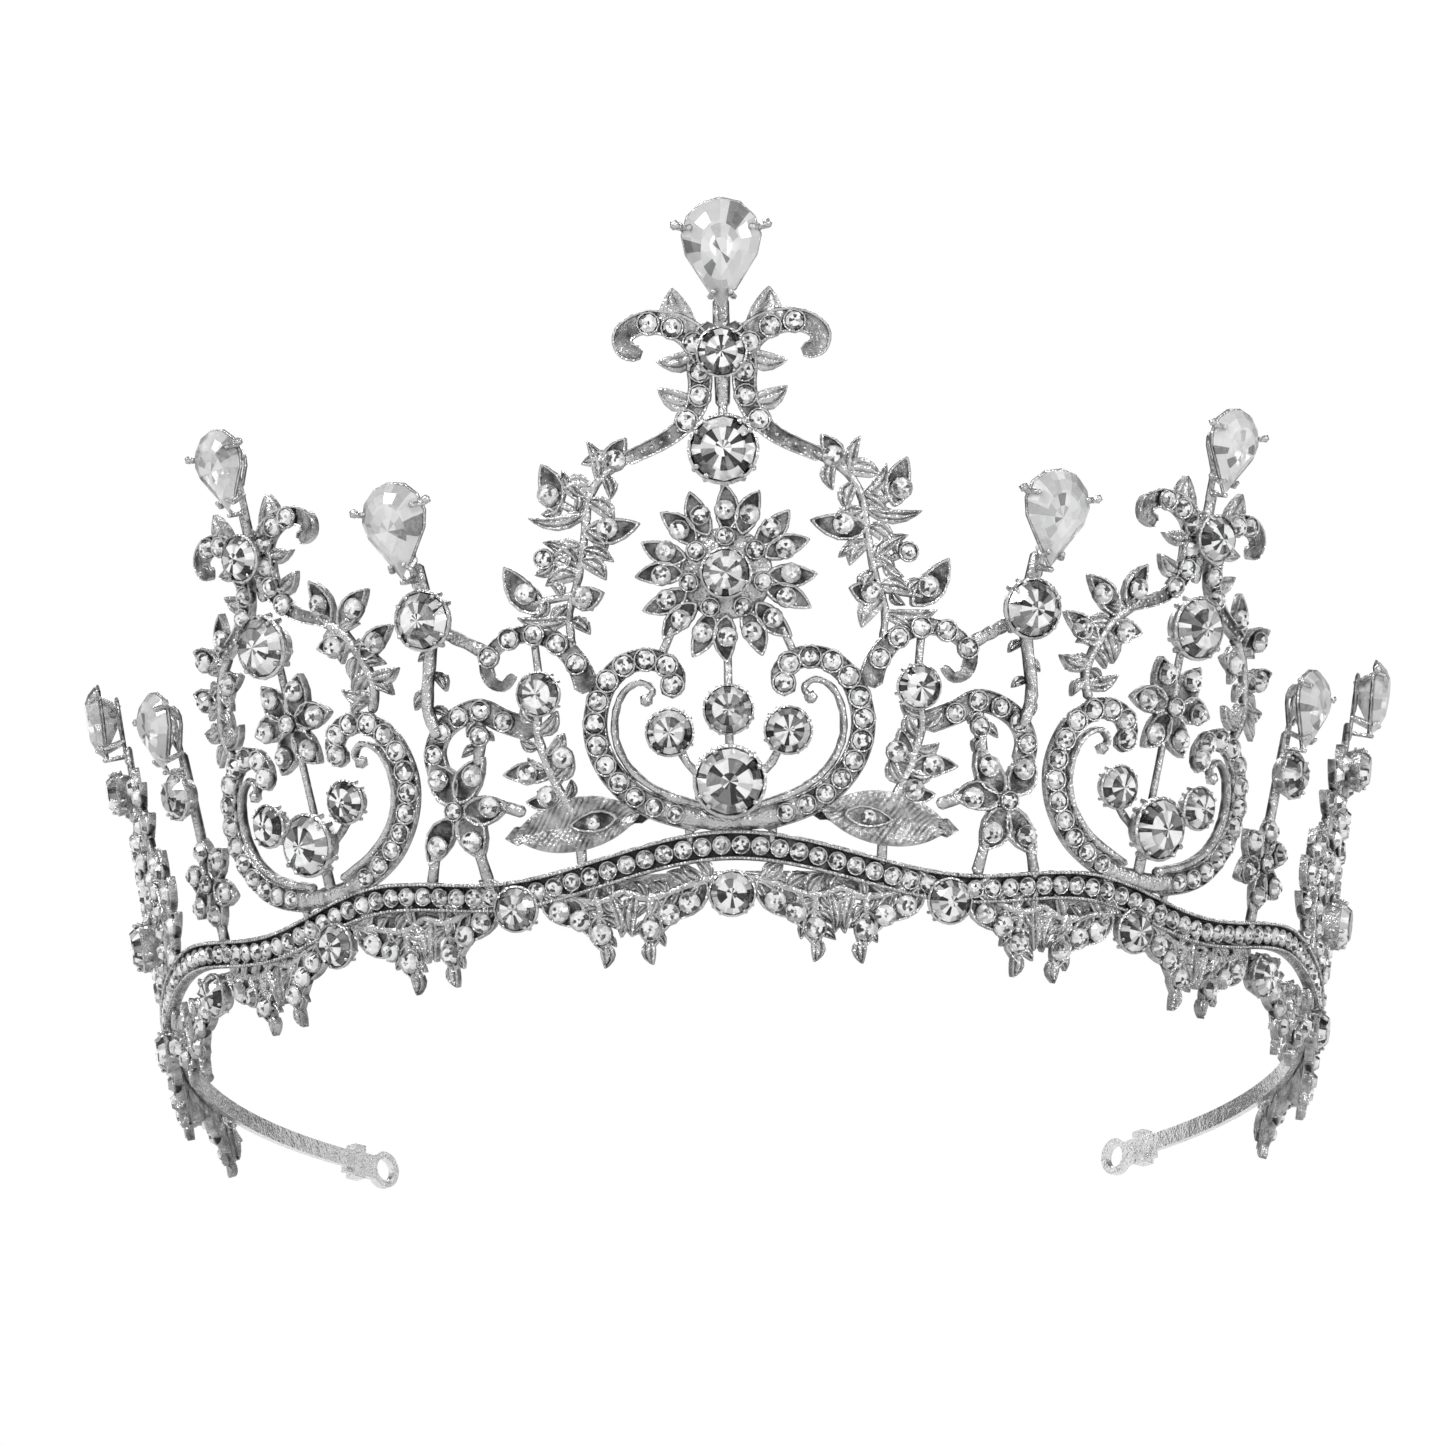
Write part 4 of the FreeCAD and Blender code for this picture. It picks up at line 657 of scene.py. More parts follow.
def painted_facet_glints_group() -> bpy.types.NodeTree:
    """Painted highlights and painted shade in the wedges of a cut stone, from its own disc coordinates."""
    group = new_group("PaintedFacetGlints", (("Disc", "NodeSocketVector", 0.0), ("Spark", "NodeSocketFloat", 0.0),
                                    ("Wedges", "NodeSocketFloat", 8.0), ("Table", "NodeSocketFloat", 0.55)),
                      (("Tone", "NodeSocketFloat"), ("Rim", "NodeSocketFloat")))
    bench = ShaderBench(group)
    source, sink = group.nodes["Group Input"], group.nodes["Group Output"]
    parts = bench.node("ShaderNodeSeparateXYZ")
    bench.link(source.outputs["Disc"], parts.inputs[0])
    reach = bench.node("ShaderNodeVectorMath", operation="LENGTH")
    bench.link(source.outputs["Disc"], reach.inputs[0])
    bearing = bench.math("ARCTAN2", parts.outputs["Y"], parts.outputs["X"])
    turns = bench.math("MULTIPLY_ADD", bearing, 1.0 / (2.0 * math.pi), 0.5)
    outer = bench.math("GREATER_THAN", reach.outputs["Value"], source.outputs["Table"])
    wedge = bench.math("MULTIPLY", turns, source.outputs["Wedges"])
    wedge = bench.math("FLOOR", bench.math("ADD", wedge, bench.math("MULTIPLY", outer, 0.5)))
    code = bench.node("ShaderNodeCombineXYZ")
    bench.link(wedge, code.inputs["X"])
    heart = bench.math("GREATER_THAN", reach.outputs["Value"], 0.26)
    bench.link(bench.math("ADD", outer, heart), code.inputs["Y"])
    bench.link(bench.math("MULTIPLY", source.outputs["Spark"], 97.0), code.inputs["Z"])
    chance = bench.node("ShaderNodeTexWhiteNoise", noise_dimensions="3D")
    bench.link(code.outputs[0], chance.inputs["Vector"])
    bench.link(chance.outputs["Value"], sink.inputs["Tone"])
    bench.link(bench.math("GREATER_THAN", reach.outputs["Value"], 0.93), sink.inputs["Rim"])
    return group


@dataclass(frozen=True)
class SilverFinish:
    """Antique silver casting: bright rims over recesses painted dark with patina and painted shade."""

    name: str
    tarnish_and_shade: bpy.types.NodeTree
    bright: float = 0.66
    dark: float = 0.05
    patina_and_shade: float = 1.0
    grain: float = 1.0

    def make(self) -> bpy.types.Material:
        """Builds the material."""
        material, bench, shader = new_material(self.name)
        group = bench.node("ShaderNodeGroup", node_tree=self.tarnish_and_shade)
        group.inputs["PatinaAndShade"].default_value = self.patina_and_shade
        group.inputs["Grain"].default_value = self.grain
        recess = bench.node("ShaderNodeAttribute", attribute_name="recess")
        bench.link(recess.outputs["Fac"], group.inputs["Recess"])
        middle = self.dark + (self.bright - self.dark) * 0.5
        # Ramp from bright metal down to dark: patina, wear and painted shade.
        tone = bench.ramp(group.outputs["Dark"], ((0.0, self.bright), (0.42, middle), (0.85,
                                                                                       self.dark * 1.8),
                                                  (1.0, self.dark)))
        bench.link(tone, shader.inputs["Base Color"])
        bench.link(group.outputs["Roughness"], shader.inputs["Roughness"])
        bump = bench.node("ShaderNodeBump")
        bump.inputs["Strength"].default_value = 0.8
        bump.inputs["Distance"].default_value = 0.0003
        bench.link(group.outputs["Height"], bump.inputs["Height"])
        bench.link(bump.outputs[0], shader.inputs["Normal"])
        shader.inputs["Metallic"].default_value = 1.0
        return material


@dataclass(frozen=True)
class StoneFinish:
    """Foil-backed cut stone whose facets carry painted highlights and painted shade, one by one."""

    name: str
    facets: bpy.types.NodeTree
    wedges: float
    table: float
    stops: Tuple[Tuple[float, float], ...]
    metallic: float = 0.5
    transmission: float = 0.0

    def make(self) -> bpy.types.Material:
        """Builds the material."""
        material, bench, shader = new_material(self.name)
        disc = bench.node("ShaderNodeUVMap", uv_map="facet")
        spark = bench.node("ShaderNodeAttribute", attribute_name="spark")
        group = bench.node("ShaderNodeGroup", node_tree=self.facets)
        group.inputs["Wedges"].default_value = self.wedges
        group.inputs["Table"].default_value = self.table
        bench.link(disc.outputs[0], group.inputs["Disc"])
        bench.link(spark.outputs["Fac"], group.inputs["Spark"])
        # Base colour is painted facet light: the wedge tones stand in for highlights and shade of the cut stone.
        bench.link(bench.ramp(group.outputs["Tone"], self.stops, "CONSTANT"), shader.inputs["Base Color"])
        haze = bench.noise(900.0, vector=bench.node("ShaderNodeTexCoord").outputs["Object"])
        bench.link(bench.math("MULTIPLY_ADD", haze, 0.1, 0.03), shader.inputs["Roughness"])
        shader.inputs["Metallic"].default_value = self.metallic
        shader.inputs["IOR"].default_value = 1.6
        shader.inputs["Coat Weight"].default_value = 0.35
        shader.inputs["Coat Roughness"].default_value = 0.03
        shader.inputs["Transmission Weight"].default_value = self.transmission
        return material


def new_material(name: str) -> Tuple[bpy.types.Material, ShaderBench, bpy.types.Node]:
    """Empty node material with its bench and its Principled shader."""
    material = bpy.data.materials.new(name)
    material.use_nodes = True
    material.node_tree.nodes.clear()
    bench = ShaderBench(material.node_tree)
    output = bench.node("ShaderNodeOutputMaterial")
    shader = bench.node("ShaderNodeBsdfPrincipled")
    bench.link(shader.outputs[0], output.inputs["Surface"])
    return material, bench, shader


@dataclass
class Finishes:
    """Every finish of the tiara, made once."""

    silver: bpy.types.Material = field(init=False)
    plating: bpy.types.Material = field(init=False)
    pave: bpy.types.Material = field(init=False)
    crystal: bpy.types.Material = field(init=False)
    pear: bpy.types.Material = field(init=False)

    def __post_init__(self) -> None:
        """Makes the shared groups and the materials."""
        tarnish_and_shade, facets = tarnish_and_shade_group(), painted_facet_glints_group()
        self.silver = SilverFinish("antique_silver", tarnish_and_shade).make()
        self.plating = SilverFinish("plated_strip", tarnish_and_shade, bright=0.9, dark=0.3, patina_and_shade=0.5,
                                    grain=0.5).make()
        # Grey stops of the painted facet highlights and painted shade for each kind of stone.
        self.pave = StoneFinish("pave_stones", facets, 8.0, 0.62,
                                ((0.0, 0.05), (0.24, 0.45), (0.42, 0.85), (0.6, 1.0)), 0.25).make()
        self.crystal = StoneFinish("round_crystals", facets, 18.0, 0.7,
                                   ((0.0, 0.02), (0.26, 0.22), (0.46, 0.65), (0.6, 1.0))).make()
        self.pear = StoneFinish("pear_crystals", facets, 12.0, 0.52,
                                ((0.0, 0.24), (0.14, 0.65), (0.3, 0.9), (0.55, 1.0)), 0.1, 0.45).make()


# ---------------------------------------------------------------- pieces and trays
class Piece:
    """One named piece that grows out of small shapes."""

    def __init__(self, sheet: LeaningSheet) -> None:
        """Starts empty on a sheet."""
        self.sheet = sheet
        self.mesh = new_shape()

    def bend(self, shape: bmesh.types.BMesh, panel: float) -> None:
        """Bends a flat shape to the sheet at a panel and takes it in."""
        for vert in shape.verts:
            vert.co = self.sheet.point(panel, *vert.co)
        take_in(self.mesh, shape)

    def bar(self, panel: float, *measures: object, **options: object) -> None:
        """Bends a swept bar to the sheet at a panel; the rest is what swept_bar takes."""
        self.bend(swept_bar(*measures, **options), panel)

    def stamp(self, template: bpy.types.Mesh, place: Matrix, spark: float = 0.0) -> None:
        """Takes in a copy of a template at a place."""
        start = len(self.mesh.verts)
        self.mesh.from_mesh(template)
        self.mesh.verts.ensure_lookup_table()
        fresh = self.mesh.verts[start:]
        bmesh.ops.transform(self.mesh, matrix=place, verts=fresh)
        layer = self.mesh.verts.layers.float["spark"]
        for vert in fresh:
            vert[layer] = spark

    def finish(self, name: str, node: str, slot: str, material: bpy.types.Material,
               faceted: bool = False) -> None:
        """Makes the Blender object, dresses it and ties it to the frame."""
        mesh = bpy.data.meshes.new(name)
        self.mesh.to_mesh(mesh)
        self.mesh.free()
        if faceted:
            mesh.shade_flat()
        else:
            mesh.shade_smooth()
            mesh.set_sharp_from_angle(angle=SHARP_EDGE)
        mesh.materials.append(material)
        piece = bpy.data.objects.new(name, mesh)
        bpy.context.scene.collection.objects.link(piece)
        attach(piece, "root")
        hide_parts(node)
        LOG.info("%s stands for %s: %d faces", name, node, len(mesh.polygons))


@dataclass
class Goldsmith:
    """What every sub-assembly works with: the sheet, the templates, the finishes and the trays of stones."""

    sheet: LeaningSheet
    templates: Templates
    finishes: Finishes
    chance: random.Random
    trays: Dict[str, Piece] = field(default_factory=dict)

    def tray(self, node: str) -> Piece:
        """The piece that gathers the stones of one node."""
        if node not in self.trays:
            self.trays[node] = Piece(self.sheet)
        return self.trays[node]

    def stone(self, node: str, panel: float, spot: Spot, out: float, scale: float = 1.0) -> None:
        """Sets one small stone."""
        place = self.sheet.seat(panel, spot, out, scale, self.chance.uniform(0.0, 45.0))
        self.tray(node).stamp(self.templates.stone, place, self.chance.random())

    def collared(self, piece: Piece, node: str, panel: float, spot: Spot, out: float,
                 scale: float = 1.0) -> None:
        """Sets one small stone in a round collar."""
        turn = self.chance.uniform(0.0, 30.0)
        piece.stamp(self.templates.collar, self.sheet.seat(panel, spot, out + 0.1, scale, turn))
        self.stone(node, panel, spot, out, scale)

    def jewel(self, piece: Piece, node: str, panel: float, spot: Spot, diameter: float,
              out: float = 0.2) -> None:
        """Sets one round crystal in its claw cup."""
        scale = diameter / (2.0 * self.templates.jewel_radius)
        turn = self.chance.uniform(-12.0, 12.0)
        piece.stamp(self.templates.cup, self.sheet.seat(panel, spot, out, scale, turn))
        seat = self.sheet.seat(panel, spot, out + self.templates.cup_floor * scale, scale, turn)
        self.tray(node).stamp(self.templates.jewel, seat, self.chance.random())

    def pear(self, piece: Piece, node: str, panel: float, spot: Spot, scale: float, out: float) -> None:
        """Sets one pear crystal in its basket of prongs."""
        place = self.sheet.seat(panel, spot, out, scale)
        piece.stamp(self.templates.basket, place)
        self.tray(node).stamp(self.templates.pear, place, self.chance.random())

    def leaves(self, piece: Piece, node: str, panel: float, leaves: Sequence[LeafSize],
               stones: Sequence[Spot],
               hand: int = 1, scale: float = 1.08) -> None:
        """Leaves of one hand; a leaf is sunk where a stone sits in it and veined where none does."""
        for index, leaf in enumerate(leaf_hand(leaves, hand)):
            middle = ((leaf[0][0] + leaf[1][0]) / 2, (leaf[0][1] + leaf[1][1]) / 2)
            held = any(math.dist(middle, (hand * spot[0], spot[1])) < 1.4 for spot in stones)
            kind = LeafKind.STONE if held else LeafKind.PLAIN
            curl = hand * (0.06 if held else 0.13) * (1 if index % 2 else -1)
            piece.bend(leaf_shape(leaf, kind, curl), panel)
        for spot in stones:
            seat = (hand * spot[0], spot[1])
            turn = self.chance.uniform(0.0, 30.0)
            piece.stamp(self.templates.collar, self.sheet.seat(panel, seat, 1.0, scale * 0.9, turn))
            self.stone(node, panel, seat, 0.95, scale)

    def sprigs(self, piece: Piece, panel: float, path: Sequence[Spot], count: int, length: float,
               start: float = 0.08, stop: float = 0.95) -> None:
        """Small plain leaves that stand off a twig by turns to its left and its right.

        Args:
            piece: Casting that takes them in.
            panel: Ring angle of the panel's middle, in degrees.
            path: The twig.
            count: How many leaves.
            length: Their usual length.
            start: Share of the twig's length at the first leaf.
            stop: Share of the twig's length at the last leaf.
        """
        feet = spaced(path, count + 1, start, stop)
        for index, (foot, ahead) in enumerate(zip(feet, feet[1:])):
            side = 1 if index % 2 else -1
            bearing = math.atan2(ahead[1] - foot[1], ahead[0] - foot[0])
            bearing += side * math.radians(self.chance.uniform(38.0, 66.0))
            reach = length * self.chance.uniform(0.75, 1.15)
            tip = (foot[0] + reach * math.cos(bearing), foot[1] + reach * math.sin(bearing))
            piece.bend(leaf_shape((foot, tip, reach * 0.52), LeafKind.PLAIN, 0.18 * side, 0.25, 1.05),
                       panel)

    def flower(self, piece: Piece, node: str, panel: float, middle: Spot, reach: float, width: float,
               bearings: Sequence[float], stone_reach: float) -> None:
        """Flower of stone-set petals round a collared stone."""
        stones = around(middle, stone_reach, bearings)
        petals = list(zip(around(middle, 0.9, bearings), around(middle, reach, bearings),
                          [width] * len(bearings)))
        self.leaves(piece, node, panel, petals, stones, 1, 1.1)
        self.collared(piece, node, panel, middle, 1.25, 0.9)

    def finish_trays(self) -> None:
        """Turns every tray of stones into its piece."""
        for node, piece in self.trays.items():
            if "pear" in node:
                look, slot = self.finishes.pear, "pear_crystal"
            elif "crystals" in node:
                look, slot = self.finishes.crystal, "round_crystal"
            else:
                look, slot = self.finishes.pave, "pave_stone"
            piece.finish("set_" + node, node, slot, look, True)

    def cast(self, piece: Piece, name: str, node: str) -> None:
        """Finishes a silver casting."""
        piece.finish(name, node, "antique_casting", self.finishes.silver)


# ---------------------------------------------------------------- sub-assemblies
@dataclass
class Hoop:
    """The plated strip and its end loops, whose shapes come from the frame."""

    smith: Goldsmith
    nodes: Tuple[str, ...] = ("headband_hoop", "end_loop_left", "end_loop_right")

    def build(self, nodes: Dict[str, bpy.types.Object]) -> None:
        """Dresses the strip and the loops."""
        for name in self.nodes:
            for slot in nodes[name].material_slots:
                slot.material = self.smith.finishes.plating
            LOG.info("%s keeps its own shape in a plated finish", name)


@dataclass
class Rails:
    """Three channel bars with beaded lips and a row of stones; heights in mm, angles in degrees."""

    smith: Goldsmith
    wave: Tuple[Spot, ...] = (
        (0.0, 4.1), (20.5, 0.3), (35.0, 2.6), (48.0, 1.0), (67.0, 4.8), (106.0, -0.5))
    centre_end: float = 20.6
    side_end: float = 104.0
    pitch: float = 1.72
    bead_pitch: float = 0.44
    bead_row: float = 1.43
    bead_out: float = 1.42
    bead_radius: float = 0.21
    # recess 1 on the channel floor and 0.5-0.6 on the back: painted shade with patina, darker deeper down.
    profile: Tuple[Tuple[float, float, float], ...] = (
        (-1.5, 0.0, 0.6), (1.5, 0.0, 0.6), (1.7, 0.2, 0.5), (1.7, 1.2, 0.3), (1.55, 1.42, 0.1), (1.3,
                                                                                                 1.42, 0.2),
        (1.2, 0.8, 1.0), (-1.2, 0.8, 1.0), (-1.3, 1.42, 0.2), (-1.55, 1.42, 0.1), (-1.7, 1.2, 0.3),
        (-1.7, 0.2, 0.5))

    def height(self, angle: float) -> float:
        """Height of the bar's middle at a ring angle."""
        angle = abs(angle)
        for (low_angle, low), (high_angle, high) in zip(self.wave, self.wave[1:]):
            if angle <= high_angle:
                return low + (high - low) * ease(angle, low_angle, high_angle)
        return self.wave[-1][1]

    def bar(self, first: float, last: float) -> Piece:
        """One channel bar with its beads."""
        sheet = self.smith.sheet
        piece = Piece(sheet)
        count = int((last - first) / 0.8)
        angles = [first + (last - first) * i / count for i in range(count + 1)]
        shape = new_shape()
        corners = [(angles[0], up + self.height(angles[0]), out) for up, out, _ in self.profile]
        edges = first_ring(shape, corners, [recess for _, _, recess in self.profile])
        for here, there in zip(angles, angles[1:]):
            fresh, edges = grown_ring(shape, edges)
            rise = self.height(there) - self.height(here)
            bmesh.ops.translate(shape, vec=(there - here, rise, 0.0), verts=fresh)
        bmesh.ops.holes_fill(shape, edges=shape.edges[:], sides=0)
        for vert in shape.verts:
            vert.co = sheet.point(vert.co.x, 0.0, vert.co.y, vert.co.z)
        bmesh.ops.recalc_face_normals(shape, faces=shape.faces[:])
        take_in(piece.mesh, shape)
        step = math.degrees(self.bead_pitch / sheet.radius)
        for i in range(int((last - first) / step)):
            angle = first + (i + 0.5) * step
            for edge in (-self.bead_row, self.bead_row):
                spot = (0.0, self.height(angle) + edge)
                place = sheet.seat(angle, spot, self.bead_out, self.bead_radius)
                piece.stamp(self.smith.templates.bead, place)
        return piece

    def build(self) -> None:
        """The three bars and their stones."""
        smith = self.smith
        centre = [(i - 10.5) * self.pitch for i in range(22)]
        side = [22.6 + i * self.pitch for i in range(47)]
        rows = (("centre_rail", -self.centre_end, self.centre_end, centre),
                ("right_rail", self.centre_end + 0.2, self.side_end, side),
                ("left_rail", -self.side_end, -self.centre_end - 0.2, [-angle for angle in side]))
        for node, first, last, stones in rows:
            piece = self.bar(first, last)
            for angle in stones:
                spot = (0.0, self.height(angle))
                piece.stamp(smith.templates.collar, smith.sheet.seat(angle, spot, 0.95, 0.84))
                smith.stone("rail_stones", angle, spot, 0.8, 0.88)
            smith.cast(piece, "beaded_" + node, node)


@dataclass
class HeartScroll:
    """One C scroll of an open heart: collared stones along a bar and a wire curl inside."""

    smith: Goldsmith
    band: Tuple[Spot, ...] = ((0.3, 6.7), (3.6, 7.0), (7.4, 8.2), (10.4, 9.9), (12.7, 12.4), (14.1,
                                                                                              15.1),
                                                                                              (14.6, 17.9),
                              (14.1, 20.8), (12.9, 23.0), (10.5, 24.7), (7.4, 24.6), (5.8, 22.9), (6.3,
                                                                                                   21.3))
    wire: Tuple[Spot, ...] = ((2.6, 8.3), (7.0, 9.9), (10.4, 12.4), (12.2, 15.6), (12.4, 18.8), (11.4,
                                                                                                 21.4),
                              (9.5, 22.4), (8.2, 21.4), (8.9, 20.4))
    stone_count: int = 13

    def build(self, name: str, node: str, stones: str, panel: float, hand: int, drop: float = 0.0,
              widen: float = 1.0) -> None:
        """One hand of the heart."""
        smith, piece = self.smith, Piece(self.smith.sheet)
        band = [(hand * across * widen, up - drop) for across, up in self.band]
        wire = [(hand * across * widen, up - drop) for across, up in self.wire]
        piece.bar(panel, band[1:], 2.8, 0.0, 1.2, 0.85, BarProfile.SEAT)
        piece.bar(panel, band[:3], 2.2, 0.0, 1.15)
        piece.bar(panel, wire, 0.95, 0.1, 1.2, 0.75)
        piece.bar(panel, [wire[0], band[1]], 0.9, 0.1, 0.95, steps=1)
        piece.bar(panel, [(hand * 4.6, 7.0 - drop), (hand * 4.4, 4.4 - drop)], 1.0, 0.2, 0.9, steps=1)
        piece.stamp(smith.templates.bead, smith.sheet.seat(panel, wire[-1], 0.7, 0.85))
        for index, spot in enumerate(spaced(band, self.stone_count, 0.16, 0.98)):
            scale = 0.86 + 0.2 * min(index / 5.0, 1.0)
            smith.collared(piece, stones, panel, spot, 0.95, scale)
        smith.cast(piece, name, node)


@dataclass
class DropSpray:
    """Four round crystals on thin stems inside the front heart."""

    smith: Goldsmith
    jewels: Tuple[Tuple[Spot, float], ...] = (
        ((0.0, 19.0), 5.1), ((6.3, 16.7), 4.9), ((-6.3, 16.7), 4.9), ((0.0, 11.1), 7.3))

    def build(self) -> None:
        """The spray and its crystals."""
        smith, piece = self.smith, Piece(self.smith.sheet)
        piece.bar(0.0, [(0.0, 26.0), (0.0, 9.0)], 0.9, 0.0, 0.75, steps=2)
        piece.bar(0.0, [(0.0, 9.4), (0.0, 7.2)], 1.5, 0.1, 0.9, steps=1)
        for hand in (-1, 1):
            piece.bar(0.0, [(hand * 6.3, 17.6), (hand * 4.6, 13.2), (hand * 1.0, 10.2)], 0.9, 0.0, 0.75)
        for spot, diameter in self.jewels:
            smith.jewel(piece, "centre_round_crystals", 0.0, spot, diameter)
        smith.cast(piece, "jewel_spray", "drop_spray")


@dataclass
class Rosette:
    """Sixteen pointed petals, seven collared stones and a hub crystal."""

    smith: Goldsmith
    middle: Spot = (0.0, 34.0)
    petals: int = 16
    reach: float = 9.7
    inner: int = 7
    hub: float = 5.1
    petal_width: float = 2.35

    def build(self) -> None:
        """The rosette and the crystal above it."""
        smith, piece = self.smith, Piece(self.smith.sheet)
        bearings = even_bearings(self.petals)
        petals = list(zip(around(self.middle, 4.7, bearings), around(self.middle, self.reach, bearings),
                          [self.petal_width] * self.petals))
        smith.leaves(piece, "rosette_stones", 0.0, petals, around(self.middle, 7.0, bearings), 1, 1.0)
        plate = turned(((4.6, 0.0, 0.6), (5.1, 0.5, 0.5), (4.8, 0.8, 0.3), (2.0, 0.95, 0.5)), 32, True)
        bmesh.ops.translate(plate, vec=(self.middle[0], self.middle[1], 0.0), verts=plate.verts[:])
        piece.bend(plate, 0.0)
        for spot in around(self.middle, 4.1, even_bearings(self.inner)):
            smith.collared(piece, "rosette_stones", 0.0, spot, 1.05, 0.88)
        for hand in (-1, 1):
            piece.bar(0.0, [(hand * 6.0, 28.0), (hand * 7.2, 25.2)], 0.9, 0.15, 0.9, steps=1)
        smith.jewel(piece, "centre_round_crystals", 0.0, self.middle, self.hub, 1.05)
        smith.cast(piece, "petal_rosette", "rosette")

        piece = Piece(smith.sheet)
        piece.bar(0.0, [(0.0, 52.8), (0.0, 43.0)], 1.0, 0.0, 0.8, steps=2)
        smith.jewel(piece, "centre_round_crystals", 0.0, (0.0, 47.6), 7.1)
        smith.cast(piece, "arch_setting", "arch_cup")


@dataclass
class Crest:
    """Lily-shaped crest: two curls, two legs, leaves and a crystal; sizes for the front one."""

    smith: Goldsmith
    jewel: Spot = (0.0, 58.3)
    curl: Tuple[Spot, ...] = (
        (1.6, 58.0), (3.4, 60.4), (5.8, 61.7), (8.6, 61.9), (10.6, 60.8), (10.5, 59.2), (9.3, 58.6))
    leg: Tuple[Spot, ...] = (
        (1.2, 60.6), (2.4, 57.6), (2.4, 54.6), (3.2, 51.8), (5.8, 49.2), (10.2, 47.2))
    leaves: Tuple[LeafSize, ...] = (((3.2, 60.2), (5.2, 65.4), 2.6), ((2.6, 58.4), (7.0, 57.6), 1.5),
                                    ((2.9, 53.0), (6.9, 54.6), 1.6))
    stones: Tuple[Spot, ...] = (
        (5.3, 61.2), (7.9, 61.8), (3.0, 59.4), (2.4, 56.3), (2.5, 53.6), (3.9, 50.9))

    def moved(self, spot: Spot, share: float, height: float) -> Spot:
        """A crest point on a crest of another size and height."""
        return spot[0] * share, (spot[1] - self.jewel[1]) * share + height

    def shape(self, piece: Piece, stones: str, crystals: str, panel: float, share: float, height: float,
              diameter: float) -> None:
        """Lays one crest in a piece."""
        smith = self.smith
        stem = [self.moved(spot, share, height) for spot in ((0.0, 64.0), (0.0, 52.8))]
        piece.bar(panel, stem, 1.8 * share, 0.0, 0.8, steps=2)
        for hand in (-1, 1):
            curl = [self.moved(spot, share, height) for spot in flipped(self.curl, hand)]
            leg = [self.moved(spot, share, height) for spot in flipped(self.leg, hand)]
            piece.bar(panel, curl, 3.5 * share, 0.0, 1.3, 0.55, BarProfile.TROUGH)
            piece.bar(panel, leg, 3.2 * share, 0.1, 1.4, 0.55, BarProfile.TROUGH)
            for spot in spaced(leg, 6, 0.66, 0.98):
                piece.stamp(smith.templates.bead, smith.sheet.seat(panel, spot, 1.0, 0.3 * share))
            for base, tip, width in leaf_hand(self.leaves, hand):
                leaf = (self.moved(base, share, height), self.moved(tip, share, height),
                        1.35 * width * share)
                piece.bend(leaf_shape(leaf, LeafKind.PLAIN, -0.14 * hand), panel)
            for spot in flipped(self.stones, hand):
                seat = self.moved(spot, share, height)
                smith.collared(piece, stones, panel, seat, 1.02, 1.05 * share ** 0.5)
        smith.jewel(piece, crystals, panel, (0.0, height), diameter, 0.9)

    def build(self) -> None:
        """The front crest and the pear at its peak."""
        piece = Piece(self.smith.sheet)
        self.shape(piece, "crest_stones", "centre_round_crystals", 0.0, 1.0, self.jewel[1], 5.1)
        self.smith.cast(piece, "front_crest", "crest_casting")
        piece = Piece(self.smith.sheet)
        self.smith.pear(piece, "peak_pear_crystal", 0.0, (0.2, 69.0), 1.0, 1.0)
        self.smith.cast(piece, "peak_pear_basket", "peak_pear_claws")


